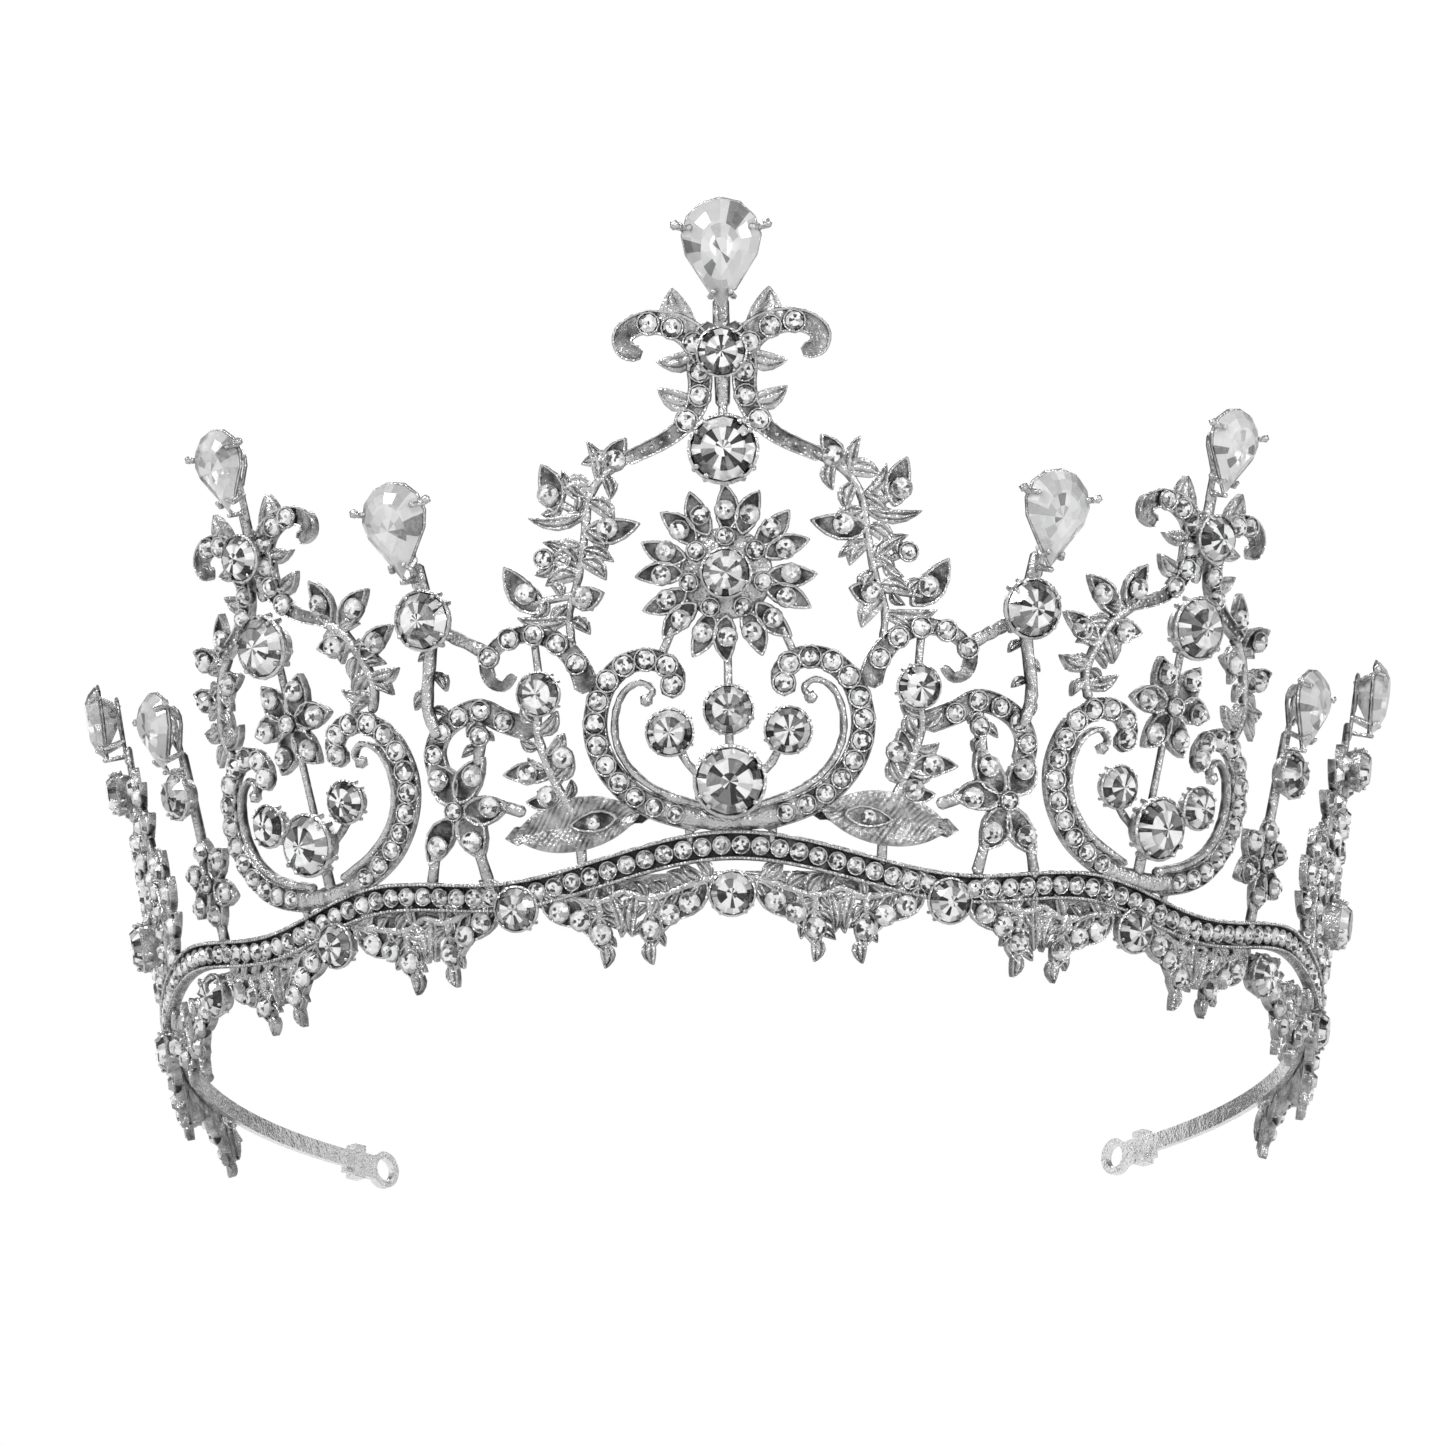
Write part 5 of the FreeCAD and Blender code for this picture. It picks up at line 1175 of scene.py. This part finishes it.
@dataclass
class FrontFlank:
    """Laurel, shoulder scroll, engraved leaf, twig and daisy on each side of the front panel."""

    smith: Goldsmith
    spine: Tuple[Spot, ...] = (
        (10.2, 47.2), (12.9, 45.7), (14.8, 43.2), (15.5, 38.6), (16.2, 34.5), (17.3, 30.6),
        (17.0, 27.0))
    laurel: Tuple[LeafSize, ...] = (
        ((12.6, 45.9), (10.7, 49.3), 2.1), ((13.8, 44.8), (14.9, 49.2), 1.5), ((14.9, 43.0), (17.6,
                                                                                              46.4), 1.4),
        ((18.6, 42.0), (20.0, 47.2), 2.5), ((15.4, 41.4), (21.4, 41.6), 1.5), ((15.4, 39.4), (9.5,
                                                                                              39.9), 2.6),
        ((15.6, 37.4), (12.4, 35.9), 1.5), ((16.0, 35.6), (19.9, 38.6), 1.5), ((20.4, 31.2), (24.4,
                                                                                              36.4), 2.7),
        ((16.9, 32.0), (13.5, 32.6), 2.4), ((17.3, 30.2), (22.9, 30.8), 1.6))
    links: Tuple[Tuple[Spot, Spot], ...] = (
        ((15.0, 40.8), (19.4, 43.8)), ((16.6, 32.6), (21.4, 32.2)), ((16.0, 35.0), (20.4, 37.2)))
    laurel_stones: Tuple[Spot, ...] = (
        (11.8, 47.0), (19.3, 43.9), (12.8, 39.6), (22.1, 33.3), (15.7, 32.2))
    lone_stone: Spot = (19.9, 36.9)
    scroll: Tuple[Spot, ...] = ((15.5, 22.6), (16.2, 24.6), (17.6, 26.6), (19.6, 28.2), (22.3, 28.9),
                                (25.0, 28.3), (26.8, 26.6),
                                (26.5, 24.5), (25.0, 23.5), (23.9, 24.4))
    scroll_stones: Tuple[Spot, ...] = (
        (16.5, 25.0), (18.6, 27.4), (21.2, 28.7), (24.1, 28.6), (26.5, 26.9))
    scroll_jewel: Spot = (20.6, 22.1)
    broad_leaf: LeafSize = ((9.8, 7.9), (24.0, 6.8), 6.0)
    twig: Tuple[Spot, ...] = ((17.2, 8.6), (18.9, 11.4), (20.3, 14.8), (21.2, 18.0), (20.9, 20.4))
    twig_leaves: Tuple[LeafSize, ...] = (((18.9, 12.0), (18.7, 17.2), 2.2), ((19.8, 13.0), (25.0, 13.7),
                                                                             2.2),
                                         ((18.5, 10.4), (22.4, 10.4), 1.8))
    twig_stones: Tuple[Spot, ...] = ((18.2, 14.8), (22.3, 13.5), (20.0, 10.7))
    daisy: Spot = (31.0, 10.6)
    daisy_bearings: Tuple[float, ...] = (62.0, 122.0, 182.0, 242.0, 302.0)
    garland: Tuple[Spot, ...] = (
        (22.0, 18.4), (25.0, 19.7), (27.6, 21.2), (30.2, 20.9), (32.4, 19.6), (33.4, 17.4),
        (33.0, 15.2))
    garland_stones: Tuple[Spot, ...] = (
        (24.9, 19.6), (27.6, 21.2), (30.2, 20.8), (32.4, 19.5), (33.4, 17.2), (27.8, 18.4))
    daisy_stems: Tuple[Tuple[Spot, ...], ...] = (((27.8, 20.6), (28.0, 17.2), (28.4, 15.0)), ((25.6,
                                                                                               10.4),
                                                                                               (23.2, 9.4)),
                                                 ((28.6, 6.4), (27.4, 2.4)), ((33.8, 6.4), (34.4, 3.0)))

    def build(self) -> None:
        """Both flanks."""
        for hand, name in HANDS:
            self.laurel_branch(hand, name)
            self.shoulder(hand, name)
            self.engraved(hand, name)
            self.daisy_cluster(hand, name)

    def laurel_branch(self, hand: int, name: str) -> None:
        """The tall leafy branch beside the rosette."""
        smith, piece = self.smith, Piece(self.smith.sheet)
        piece.bar(0.0, flipped(self.spine, hand), 1.05, 0.0, 1.0, 0.8)
        for link in self.links:
            piece.bar(0.0, flipped(link, hand), 0.9, 0.2, 0.95, steps=1)
        smith.leaves(piece, "leaf_stones", 0.0, self.laurel, self.laurel_stones, hand)
        smith.sprigs(piece, 0.0, flipped(self.spine, hand), 12, 3.5)
        for link in self.links:
            smith.sprigs(piece, 0.0, flipped(link, hand), 2, 2.4, 0.3, 1.0)
        smith.collared(piece, "leaf_stones", 0.0, (hand * self.lone_stone[0], self.lone_stone[1]), 1.1, 0.9)
        smith.cast(piece, "laurel_branch_" + name, "laurel_" + name)

    def shoulder(self, hand: int, name: str) -> None:
        """The small scroll over the heart with its hanging crystal."""
        smith, piece = self.smith, Piece(self.smith.sheet)
        piece.bar(0.0, flipped(self.scroll, hand), 2.7, 0.0, 1.15, 0.4, BarProfile.SEAT)
        piece.bar(0.0, flipped([(26.6, 27.2), (29.4, 28.9), (31.6, 30.2)], hand), 1.4, 0.1, 1.1)
        piece.bar(0.0, flipped([(21.4, 28.0), (20.8, 22.6)], hand), 0.9, 0.0, 0.7, steps=1)
        for spot in flipped(self.scroll_stones, hand):
            smith.collared(piece, "shoulder_stones", 0.0, spot, 0.95, 1.0)
        smith.jewel(piece, "shoulder_crystals", 0.0, (hand * self.scroll_jewel[0],
                                                      self.scroll_jewel[1]), 4.6)
        smith.cast(piece, "shoulder_curl_" + name, "shoulder_scroll_" + name)

    def engraved(self, hand: int, name: str) -> None:
        """The broad ribbed leaf with its slot stone, and the twig above it."""
        smith, piece = self.smith, Piece(self.smith.sheet)
        base, tip, width = leaf_hand([self.broad_leaf], hand)[0]
        piece.bend(engraved_shape((base, tip, width), 0.0, 1.1), 0.0)
        slot = ((hand * 12.4, 7.7), (hand * 17.4, 7.2), 2.2)
        piece.bend(leaf_shape(slot, LeafKind.STONE, 0.0, 0.5, 1.45), 0.0)
        smith.stone("leaf_stones", 0.0, (hand * 14.9, 7.4), 1.1, 0.85)
        piece.bar(0.0, flipped([(16.6, 5.4), (16.4, 2.6)], hand), 1.2, 0.1, 0.9, steps=1)
        piece.bar(0.0, flipped(self.twig, hand), 1.0, 0.1, 1.1)
        smith.leaves(piece, "leaf_stones", 0.0, self.twig_leaves, self.twig_stones, hand)
        smith.sprigs(piece, 0.0, flipped(self.twig, hand), 8, 2.8, 0.15, 1.0)
        smith.cast(piece, "ribbed_leaf_" + name, "engraved_leaves_" + name)

    def daisy_cluster(self, hand: int, name: str) -> None:
        """The five-petal flower and the garland over it."""
        smith, piece = self.smith, Piece(self.smith.sheet)
        bearings = [bearing if hand > 0 else 180.0 - bearing for bearing in self.daisy_bearings]
        piece.bar(0.0, flipped(self.garland, hand), 2.6, 0.0, 1.15, profile=BarProfile.SEAT)
        for stem in self.daisy_stems:
            piece.bar(0.0, flipped(stem, hand), 1.3, 0.1, 1.0, steps=2)
        smith.sprigs(piece, 0.0, flipped(self.daisy_stems[0], hand), 3, 2.2, 0.1, 0.9)
        smith.flower(piece, "daisy_stones", 0.0, (hand * self.daisy[0], self.daisy[1]), 6.3, 3.0,
                     bearings, 4.2)
        for spot in flipped(self.garland_stones, hand):
            smith.collared(piece, "daisy_stones", 0.0, spot, 0.95, 0.95)
        smith.cast(piece, "daisy_cluster_" + name, "daisy_" + name)


@dataclass
class ValleyFinial:
    """Round crystal on a post under a pear, between the front and side panels."""

    smith: Goldsmith
    panel: float = 24.0
    post: Tuple[Spot, ...] = ((-0.4, 32.0), (1.0, 27.0), (2.0, 22.6), (1.4, 19.4))

    def build(self) -> None:
        """Both finials."""
        for hand, name in HANDS:
            smith, piece, panel = self.smith, Piece(self.smith.sheet), hand * self.panel
            piece.bar(panel, flipped(self.post, hand), 1.3, 0.9, 2.4)
            smith.sprigs(piece, panel, flipped(self.post, hand), 4, 2.4, 0.3, 0.95)
            piece.bar(panel, [(0.0, 34.0), (hand * 0.5, 38.0)], 1.4, 1.3, 2.4, steps=1)
            smith.jewel(piece, "valley_round_crystals", panel, (0.0, 32.0), 6.2, 1.4)
            smith.pear(piece, "pear_crystals", panel, (hand * 0.9, 42.2), 0.9, 2.2)
            smith.cast(piece, "valley_point_" + name, "valley_finial_" + name)


@dataclass
class SidePanels:
    """Heart, spray with a flower, and crest with laurels and a pear, on each side."""

    smith: Goldsmith
    panel: float = 40.0
    drop: float = 2.2
    widen: float = 0.97
    jewels: Tuple[Tuple[Spot, float], ...] = (
        ((6.1, 14.2), 4.6), ((-6.1, 14.2), 4.6), ((0.0, 10.6), 6.6), ((0.0, 33.8), 6.6))
    flower: Spot = (0.0, 24.6)
    laurel: Tuple[Spot, ...] = ((8.4, 34.4), (10.4, 32.6), (11.8, 29.6), (12.6, 26.4), (11.6, 23.6))
    leaves: Tuple[LeafSize, ...] = (
        ((8.8, 34.2), (7.6, 39.4), 2.3), ((10.2, 33.2), (14.6, 36.9), 2.4), ((11.0, 31.2), (6.6, 31.8),
                                                                             2.3),
        ((12.0, 29.4), (16.6, 32.4), 2.2), ((12.4, 27.2), (16.0, 27.6), 1.8), ((12.2, 25.0), (8.6,
                                                                                              26.6), 1.7))
    stones: Tuple[Spot, ...] = ((8.2, 36.6), (12.7, 35.2), (8.8, 31.5), (14.3, 30.9))

    def build(self) -> None:
        """Both panels."""
        heart, crest = HeartScroll(self.smith), Crest(self.smith)
        for side, name in HANDS:
            panel = side * self.panel
            for part, hand in (("inner", -side), ("outer", side)):
                heart.build("side_scroll_%s_%s" % (part, name), "side_heart_%s_%s" % (part, name),
                            "side_heart_stones",
                            panel, hand, self.drop, self.widen)
            self.spray(panel, name)
            self.crown(crest, side, panel, name)

    def spray(self, panel: float, name: str) -> None:
        """Stems, crystals and flower in and over the heart."""
        smith, piece = self.smith, Piece(self.smith.sheet)
        piece.bar(panel, [(0.0, 36.0), (0.0, 8.8)], 0.9, 0.0, 0.75, steps=3)
        piece.bar(panel, [(0.0, 9.0), (0.0, 5.2)], 1.4, 0.1, 0.9, steps=1)
        for hand in (-1, 1):
            piece.bar(panel, [(hand * 6.1, 15.0), (hand * 4.4, 12.0), (hand * 1.0, 9.6)], 0.9, 0.0, 0.7)
        for spot, diameter in self.jewels:
            smith.jewel(piece, "side_crystals", panel, spot, diameter)
        smith.flower(piece, "side_stones", panel, self.flower, 5.9, 2.9, even_bearings(6, 60.0), 4.0)
        smith.cast(piece, "side_jewel_spray_" + name, "side_spray_" + name)

    def crown(self, crest: Crest, side: int, panel: float, name: str) -> None:
        """The lily crest, its laurels and its pear."""
        smith, piece = self.smith, Piece(self.smith.sheet)
        crest.shape(piece, "side_stones", "side_crystals", panel, 0.86, 44.2, 5.0)
        for hand in (-1, 1):
            piece.bar(panel, flipped(self.laurel, hand), 1.3, 0.0, 1.1, 0.8)
            smith.leaves(piece, "side_stones", panel, self.leaves, self.stones, hand)
            smith.sprigs(piece, panel, flipped(self.laurel, hand), 9, 3.2)
        smith.pear(piece, "pear_crystals", panel, (side * -0.8, 54.2), 0.8, 1.0)
        smith.cast(piece, "side_lily_crest_" + name, "side_crest_" + name)


@dataclass
class EndPanels:
    """Low finials, the panels beside the ears and the leafy tails behind them."""

    smith: Goldsmith
    finial_panel: float = 57.5
    panel: float = 81.0
    tail_panel: float = 98.0
    scroll: Tuple[Spot, ...] = (
        (0.0, 6.6), (4.0, 7.2), (7.2, 9.6), (8.8, 13.0), (8.6, 16.8), (6.4, 19.2), (3.9, 18.4),
        (4.2, 16.4))
    laurel: Tuple[Spot, ...] = ((1.0, 30.4), (4.6, 28.8), (7.6, 25.6), (9.0, 21.4), (8.6, 17.4))
    laurel_leaves: Tuple[LeafSize, ...] = (
        ((3.4, 29.2), (5.4, 33.6), 2.2), ((5.6, 27.8), (10.2, 30.0), 2.2), ((7.4, 25.4), (3.8, 27.0), 1.9),
        ((8.0, 24.0), (12.6, 25.2), 2.2), ((9.0, 20.8), (12.8, 20.2), 1.9))
    laurel_stones: Tuple[Spot, ...] = ((4.5, 31.6), (8.2, 29.0), (10.6, 24.7), (5.6, 26.3))
    branch: Tuple[Spot, ...] = ((7.6, 6.2), (10.6, 7.4), (12.8, 10.4), (13.0, 14.2), (11.6, 17.6))
    branch_leaves: Tuple[LeafSize, ...] = (
        ((10.2, 7.2), (14.2, 6.4), 2.2), ((12.2, 9.4), (16.4, 11.4), 2.3), ((13.0, 12.6), (16.2, 16.0),
                                                                            2.2),
        ((12.8, 14.6), (14.6, 19.8), 2.3), ((12.0, 16.6), (11.0, 21.4), 2.2), ((12.8, 11.6), (10.2,
                                                                                              13.4), 1.8))
    branch_stones: Tuple[Spot, ...] = (
        (12.4, 6.8), (14.4, 10.4), (14.7, 14.4), (13.8, 17.4), (11.5, 19.1))
    tail: Tuple[Spot, ...] = ((-5.6, 6.2), (-2.0, 6.6), (1.4, 5.4), (5.0, 2.8), (9.4, -1.4))
    tail_leaves: Tuple[LeafSize, ...] = (
        ((-4.4, 6.4), (-3.4, 11.6), 2.5), ((-1.0, 6.2), (1.6, 10.6), 2.5), ((1.6, 5.2), (5.8, 7.6), 2.3),
        ((4.4, 3.4), (9.0, 4.4), 2.2), ((7.4, 0.8), (12.0, -0.6), 2.1), ((7.8, 0.0), (9.4, -5.0), 2.1),
        ((-3.0, 6.0), (-1.6, 2.6), 2.0))
    tail_stones: Tuple[Spot, ...] = (
        (-3.9, 9.0), (0.3, 8.4), (3.7, 6.4), (6.7, 3.9), (9.7, 0.1), (8.6, -2.5))

    def build(self) -> None:
        """Both ends."""
        for side, name in HANDS:
            self.finial(side * self.finial_panel, name)
            self.ear_panel(side * self.panel, name)
            self.tail_branch(side, name)

    def finial(self, panel: float, name: str) -> None:
        """A flower, a round crystal and a pear on one post."""
        smith, piece = self.smith, Piece(self.smith.sheet)
        piece.bar(panel, [(0.0, 15.8), (0.0, 27.0)], 1.4, 0.2, 1.2, steps=2)
        piece.bar(panel, [(0.0, 7.4), (0.0, 4.0)], 1.6, 0.2, 1.1, steps=1)
        smith.flower(piece, "end_stones", panel, (0.0, 11.4), 5.6, 2.9, even_bearings(6, 90.0), 3.9)
        smith.jewel(piece, "end_crystals", panel, (0.0, 22.2), 5.0, 0.9)
        smith.pear(piece, "pear_crystals", panel, (0.0, 30.2), 0.78, 1.0)
        smith.cast(piece, "low_finial_" + name, "back_finial_" + name)

    def ear_panel(self, panel: float, name: str) -> None:
        """Scrolls, flower, laurels and branches under a pear."""
        smith, piece = self.smith, Piece(self.smith.sheet)
        piece.bar(panel, [(0.0, 38.0), (0.0, 6.4)], 1.3, 0.0, 0.9, steps=3)
        for hand in (-1, 1):
            piece.bar(panel, flipped(self.scroll, hand), 2.7, 0.0, 1.15, 0.8, BarProfile.SEAT)
            piece.bar(panel, flipped(self.laurel, hand), 1.3, 0.1, 1.15, 0.8)
            piece.bar(panel, flipped(self.branch, hand), 1.3, 0.1, 1.1, 0.8)
            smith.leaves(piece, "end_stones", panel, self.laurel_leaves, self.laurel_stones, hand)
            smith.leaves(piece, "end_stones", panel, self.branch_leaves, self.branch_stones, hand)
            smith.sprigs(piece, panel, flipped(self.laurel, hand), 8, 2.5)
            smith.sprigs(piece, panel, flipped(self.branch, hand), 7, 2.4)
            for spot in spaced(flipped(self.scroll, hand), 9, 0.12, 0.97):
                smith.collared(piece, "end_stones", panel, spot, 0.95, 0.95)
        smith.flower(piece, "end_stones", panel, (0.0, 22.4), 4.6, 2.4, even_bearings(6, 60.0), 3.2)
        smith.jewel(piece, "end_crystals", panel, (0.0, 32.6), 5.0, 0.9)
        smith.jewel(piece, "end_crystals", panel, (0.0, 12.6), 5.6, 0.6)
        smith.pear(piece, "pear_crystals", panel, (0.0, 42.0), 0.78, 1.0)
        smith.cast(piece, "ear_panel_" + name, "end_panel_" + name)

    def tail_branch(self, side: int, name: str) -> None:
        """The leafy tail that runs down to the strip."""
        smith, piece = self.smith, Piece(self.smith.sheet)
        panel = side * self.tail_panel
        piece.bar(panel, flipped(self.tail, side), 1.6, 0.0, 1.1, 0.7)
        smith.leaves(piece, "end_stones", panel, self.tail_leaves, self.tail_stones, side)
        smith.cast(piece, "tail_branch_" + name, "tail_leaves_" + name)


@dataclass
class Gallery:
    """Hanging swags of twigs, leaves and round crystals under the rails."""

    smith: Goldsmith
    pitch: float = 20.0
    cup: Spot = (0.0, -1.2)
    cup_diameter: float = 4.7
    vine: Tuple[Spot, ...] = ((0.0, 0.6), (3.4, 0.2), (6.8, -1.0), (9.4, -1.4), (11.7, -0.5))
    leaves: Tuple[LeafSize, ...] = (((2.8, 0.0), (6.0, -3.8), 2.0), ((5.4, -0.6), (7.6, -5.2), 1.9),
                                    ((3.2, 0.4), (5.4, 2.2), 1.6),
                                    ((10.4, -0.9), (10.9, -5.4), 1.6))
    set_leaf: LeafSize = ((8.8, -3.0), (9.0, -7.0), 2.2)
    hanger: LeafSize = ((8.9, -6.0), (8.7, -9.0), 1.4)
    stem: Tuple[Spot, ...] = ((8.8, -1.2), (9.0, -2.4), (8.7, -4.0), (8.9, -6.4))
    stones: Tuple[Spot, ...] = ((4.6, -2.1), (6.8, -3.3), (8.9, -5.0))

    def build(self) -> None:
        """The centre swag and the rows to each side."""
        rows = (("centre", (0,)), ("left", (-1, -2, -3, -4, -5)), ("right", (1, 2, 3, 4, 5)))
        for name, swags in rows:
            piece = Piece(self.smith.sheet)
            for swag in swags:
                self.swag(piece, swag * self.pitch)
            self.smith.cast(piece, "hanging_swags_" + name, "gallery_" + name)

    def swag(self, piece: Piece, panel: float) -> None:
        """One cup with a leafy vine to each side."""
        smith = self.smith
        level = math.cos(smith.sheet.lean(0.0)) / math.cos(smith.sheet.lean(panel))
        base, tip, width = self.hanger
        hanger = (base, (tip[0], tip[1] * level + 0.3), width)
        for hand in (-1, 1):
            piece.bar(panel, flipped(self.vine, hand), 1.2, 0.1, 1.0, 0.8)
            piece.bar(panel, flipped(self.stem, hand), 1.1, 0.1, 1.0, steps=2)
            leaves = self.leaves + (self.set_leaf, hanger)
            smith.leaves(piece, "gallery_stones", panel, leaves, self.stones, hand)
            smith.sprigs(piece, panel, flipped(self.vine, hand), 8, 2.5, 0.2, 1.0)
            smith.sprigs(piece, panel, flipped(self.stem, hand), 4, 2.2, 0.2, 1.0)
        smith.jewel(piece, "gallery_crystals", panel, self.cup, self.cup_diameter)


# ---------------------------------------------------------------- studio
@dataclass
class Studio:
    """White sweep, soft lights and the camera."""

    target: Tuple[float, float, float] = (0.0, 0.024, 0.0088)
    azimuth: float = 0.75
    elevation: float = -16.5
    distance: float = 0.642
    rise: float = 0.0411
    aside: float = 0.0019
    roll: float = 0.8
    field_of_view: float = 15.75
    room_strength: float = 1.1

    def build(self) -> None:
        """Everything that isn't the tiara."""
        self.camera()
        self.world()
        self.floor()
        self.lights()
        scene = bpy.context.scene
        scene.view_settings.view_transform = "Standard"
        scene.view_settings.look = "None"

    def camera(self) -> None:
        """Camera a little under the tiara, looking up at its front."""
        azimuth, elevation = math.radians(self.azimuth), math.radians(self.elevation)
        away = Vector((math.sin(azimuth) * math.cos(elevation), -math.cos(azimuth) * math.cos(elevation),
                       math.sin(elevation)))
        turn = away.to_track_quat("Z", "Y").to_matrix()
        right, up = turn.col[0], turn.col[1]
        place = Vector(self.target) + away * self.distance
        aim = Vector(self.target) + up * self.rise - right * self.aside
        basis = (place - aim).to_track_quat("Z", "Y").to_matrix().to_4x4()
        data = bpy.data.cameras.new("studio_camera")
        data.sensor_width = 36.0
        data.lens = 18.0 / math.tan(math.radians(self.field_of_view) / 2)
        camera = bpy.data.objects.new("studio_camera", data)
        camera.matrix_world = Matrix.Translation(place) @ basis @ Matrix.Rotation(math.radians(-self.roll), 4, "Z")
        bpy.context.scene.collection.objects.link(camera)
        bpy.context.scene.camera = camera

    def world(self) -> None:
        """White surround for the eye, and a banded soft room for the reflections."""
        world = bpy.data.worlds.new("studio_world")
        world.use_nodes = True
        world.node_tree.nodes.clear()
        bench = ShaderBench(world.node_tree)
        wave = bench.noise(2.6, 1.0, bench.node("ShaderNodeTexCoord").outputs["Generated"])
        bands = bench.ramp(wave, ((0.0, 0.01), (0.41, 0.06), (0.51, 0.42), (0.62, 1.0)))
        room = bench.node("ShaderNodeBackground")
        bench.link(bands, room.inputs["Color"])
        room.inputs["Strength"].default_value = self.room_strength
        white = bench.node("ShaderNodeBackground")
        white.inputs["Color"].default_value = (1.0, 1.0, 1.0, 1.0)
        path = bench.node("ShaderNodeLightPath")
        mix = bench.node("ShaderNodeMixShader")
        output = bench.node("ShaderNodeOutputWorld")
        bench.link(path.outputs["Is Camera Ray"], mix.inputs["Fac"])
        bench.link(room.outputs[0], mix.inputs[1])
        bench.link(white.outputs[0], mix.inputs[2])
        bench.link(mix.outputs[0], output.inputs["Surface"])
        bpy.context.scene.world = world

    def floor(self) -> None:
        """Pale floor that shows from above only."""
        mesh = bpy.data.meshes.new("floor")
        shape = bmesh.new()
        bmesh.ops.create_grid(shape, x_segments=1, y_segments=1, size=1.5)
        shape.to_mesh(mesh)
        shape.free()
        material, bench, shader = new_material("pale_floor")
        bench.link(bench.ramp(bench.noise(4.0), ((0.0, 0.84), (1.0, 0.88))), shader.inputs["Base Color"])
        shader.inputs["Roughness"].default_value = 0.9
        clear = bench.node("ShaderNodeBsdfTransparent")
        side = bench.node("ShaderNodeNewGeometry")
        mix = bench.node("ShaderNodeMixShader")
        bench.link(side.outputs["Backfacing"], mix.inputs["Fac"])
        bench.link(shader.outputs[0], mix.inputs[1])
        bench.link(clear.outputs[0], mix.inputs[2])
        output = next(node for node in material.node_tree.nodes if node.type == "OUTPUT_MATERIAL")
        bench.link(mix.outputs[0], output.inputs["Surface"])
        mesh.materials.append(material)
        floor = bpy.data.objects.new("floor", mesh)
        bpy.context.scene.collection.objects.link(floor)

    def lights(self) -> None:
        """Soft boxes above, beside and in front."""
        boxes = (("key", (-0.5, -0.7, 0.6), 0.4, 4.8), ("fill", (0.6, -0.6, 0.2), 0.25, 1.8),
                 ("under", (0.1, -0.6, -0.5), 0.2, 1.0), ("rim", (0.0, 0.7, 0.7), 0.6, 4.0))
        for name, place, size, power in boxes:
            data = bpy.data.lights.new(name, "AREA")
            data.size = size
            data.energy = power
            light = bpy.data.objects.new(name, data)
            away = Vector(place) - Vector((0.0, 0.0, 0.03))
            light.matrix_world = Matrix.Translation(place) @ away.to_track_quat("Z",
                                                                                "Y").to_matrix().to_4x4()
            bpy.context.scene.collection.objects.link(light)


def main() -> None:
    """Builds the tiara piece by piece, then the studio."""
    logging.basicConfig(level=logging.INFO, format="%(name)s: %(message)s")
    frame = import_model()
    smith = Goldsmith(LeaningSheet(), Templates(), Finishes(), random.Random(7))
    Hoop(smith).build(frame["nodes"])
    Rails(smith).build()
    heart = HeartScroll(smith)
    for hand, name in HANDS:
        heart.build("front_scroll_" + name, "centre_heart_" + name, "centre_heart_stones", 0.0, hand)
    DropSpray(smith).build()
    Rosette(smith).build()
    Crest(smith).build()
    FrontFlank(smith).build()
    ValleyFinial(smith).build()
    SidePanels(smith).build()
    EndPanels(smith).build()
    Gallery(smith).build()
    smith.finish_trays()
    Studio().build()


if __name__ == "__main__":
    main()
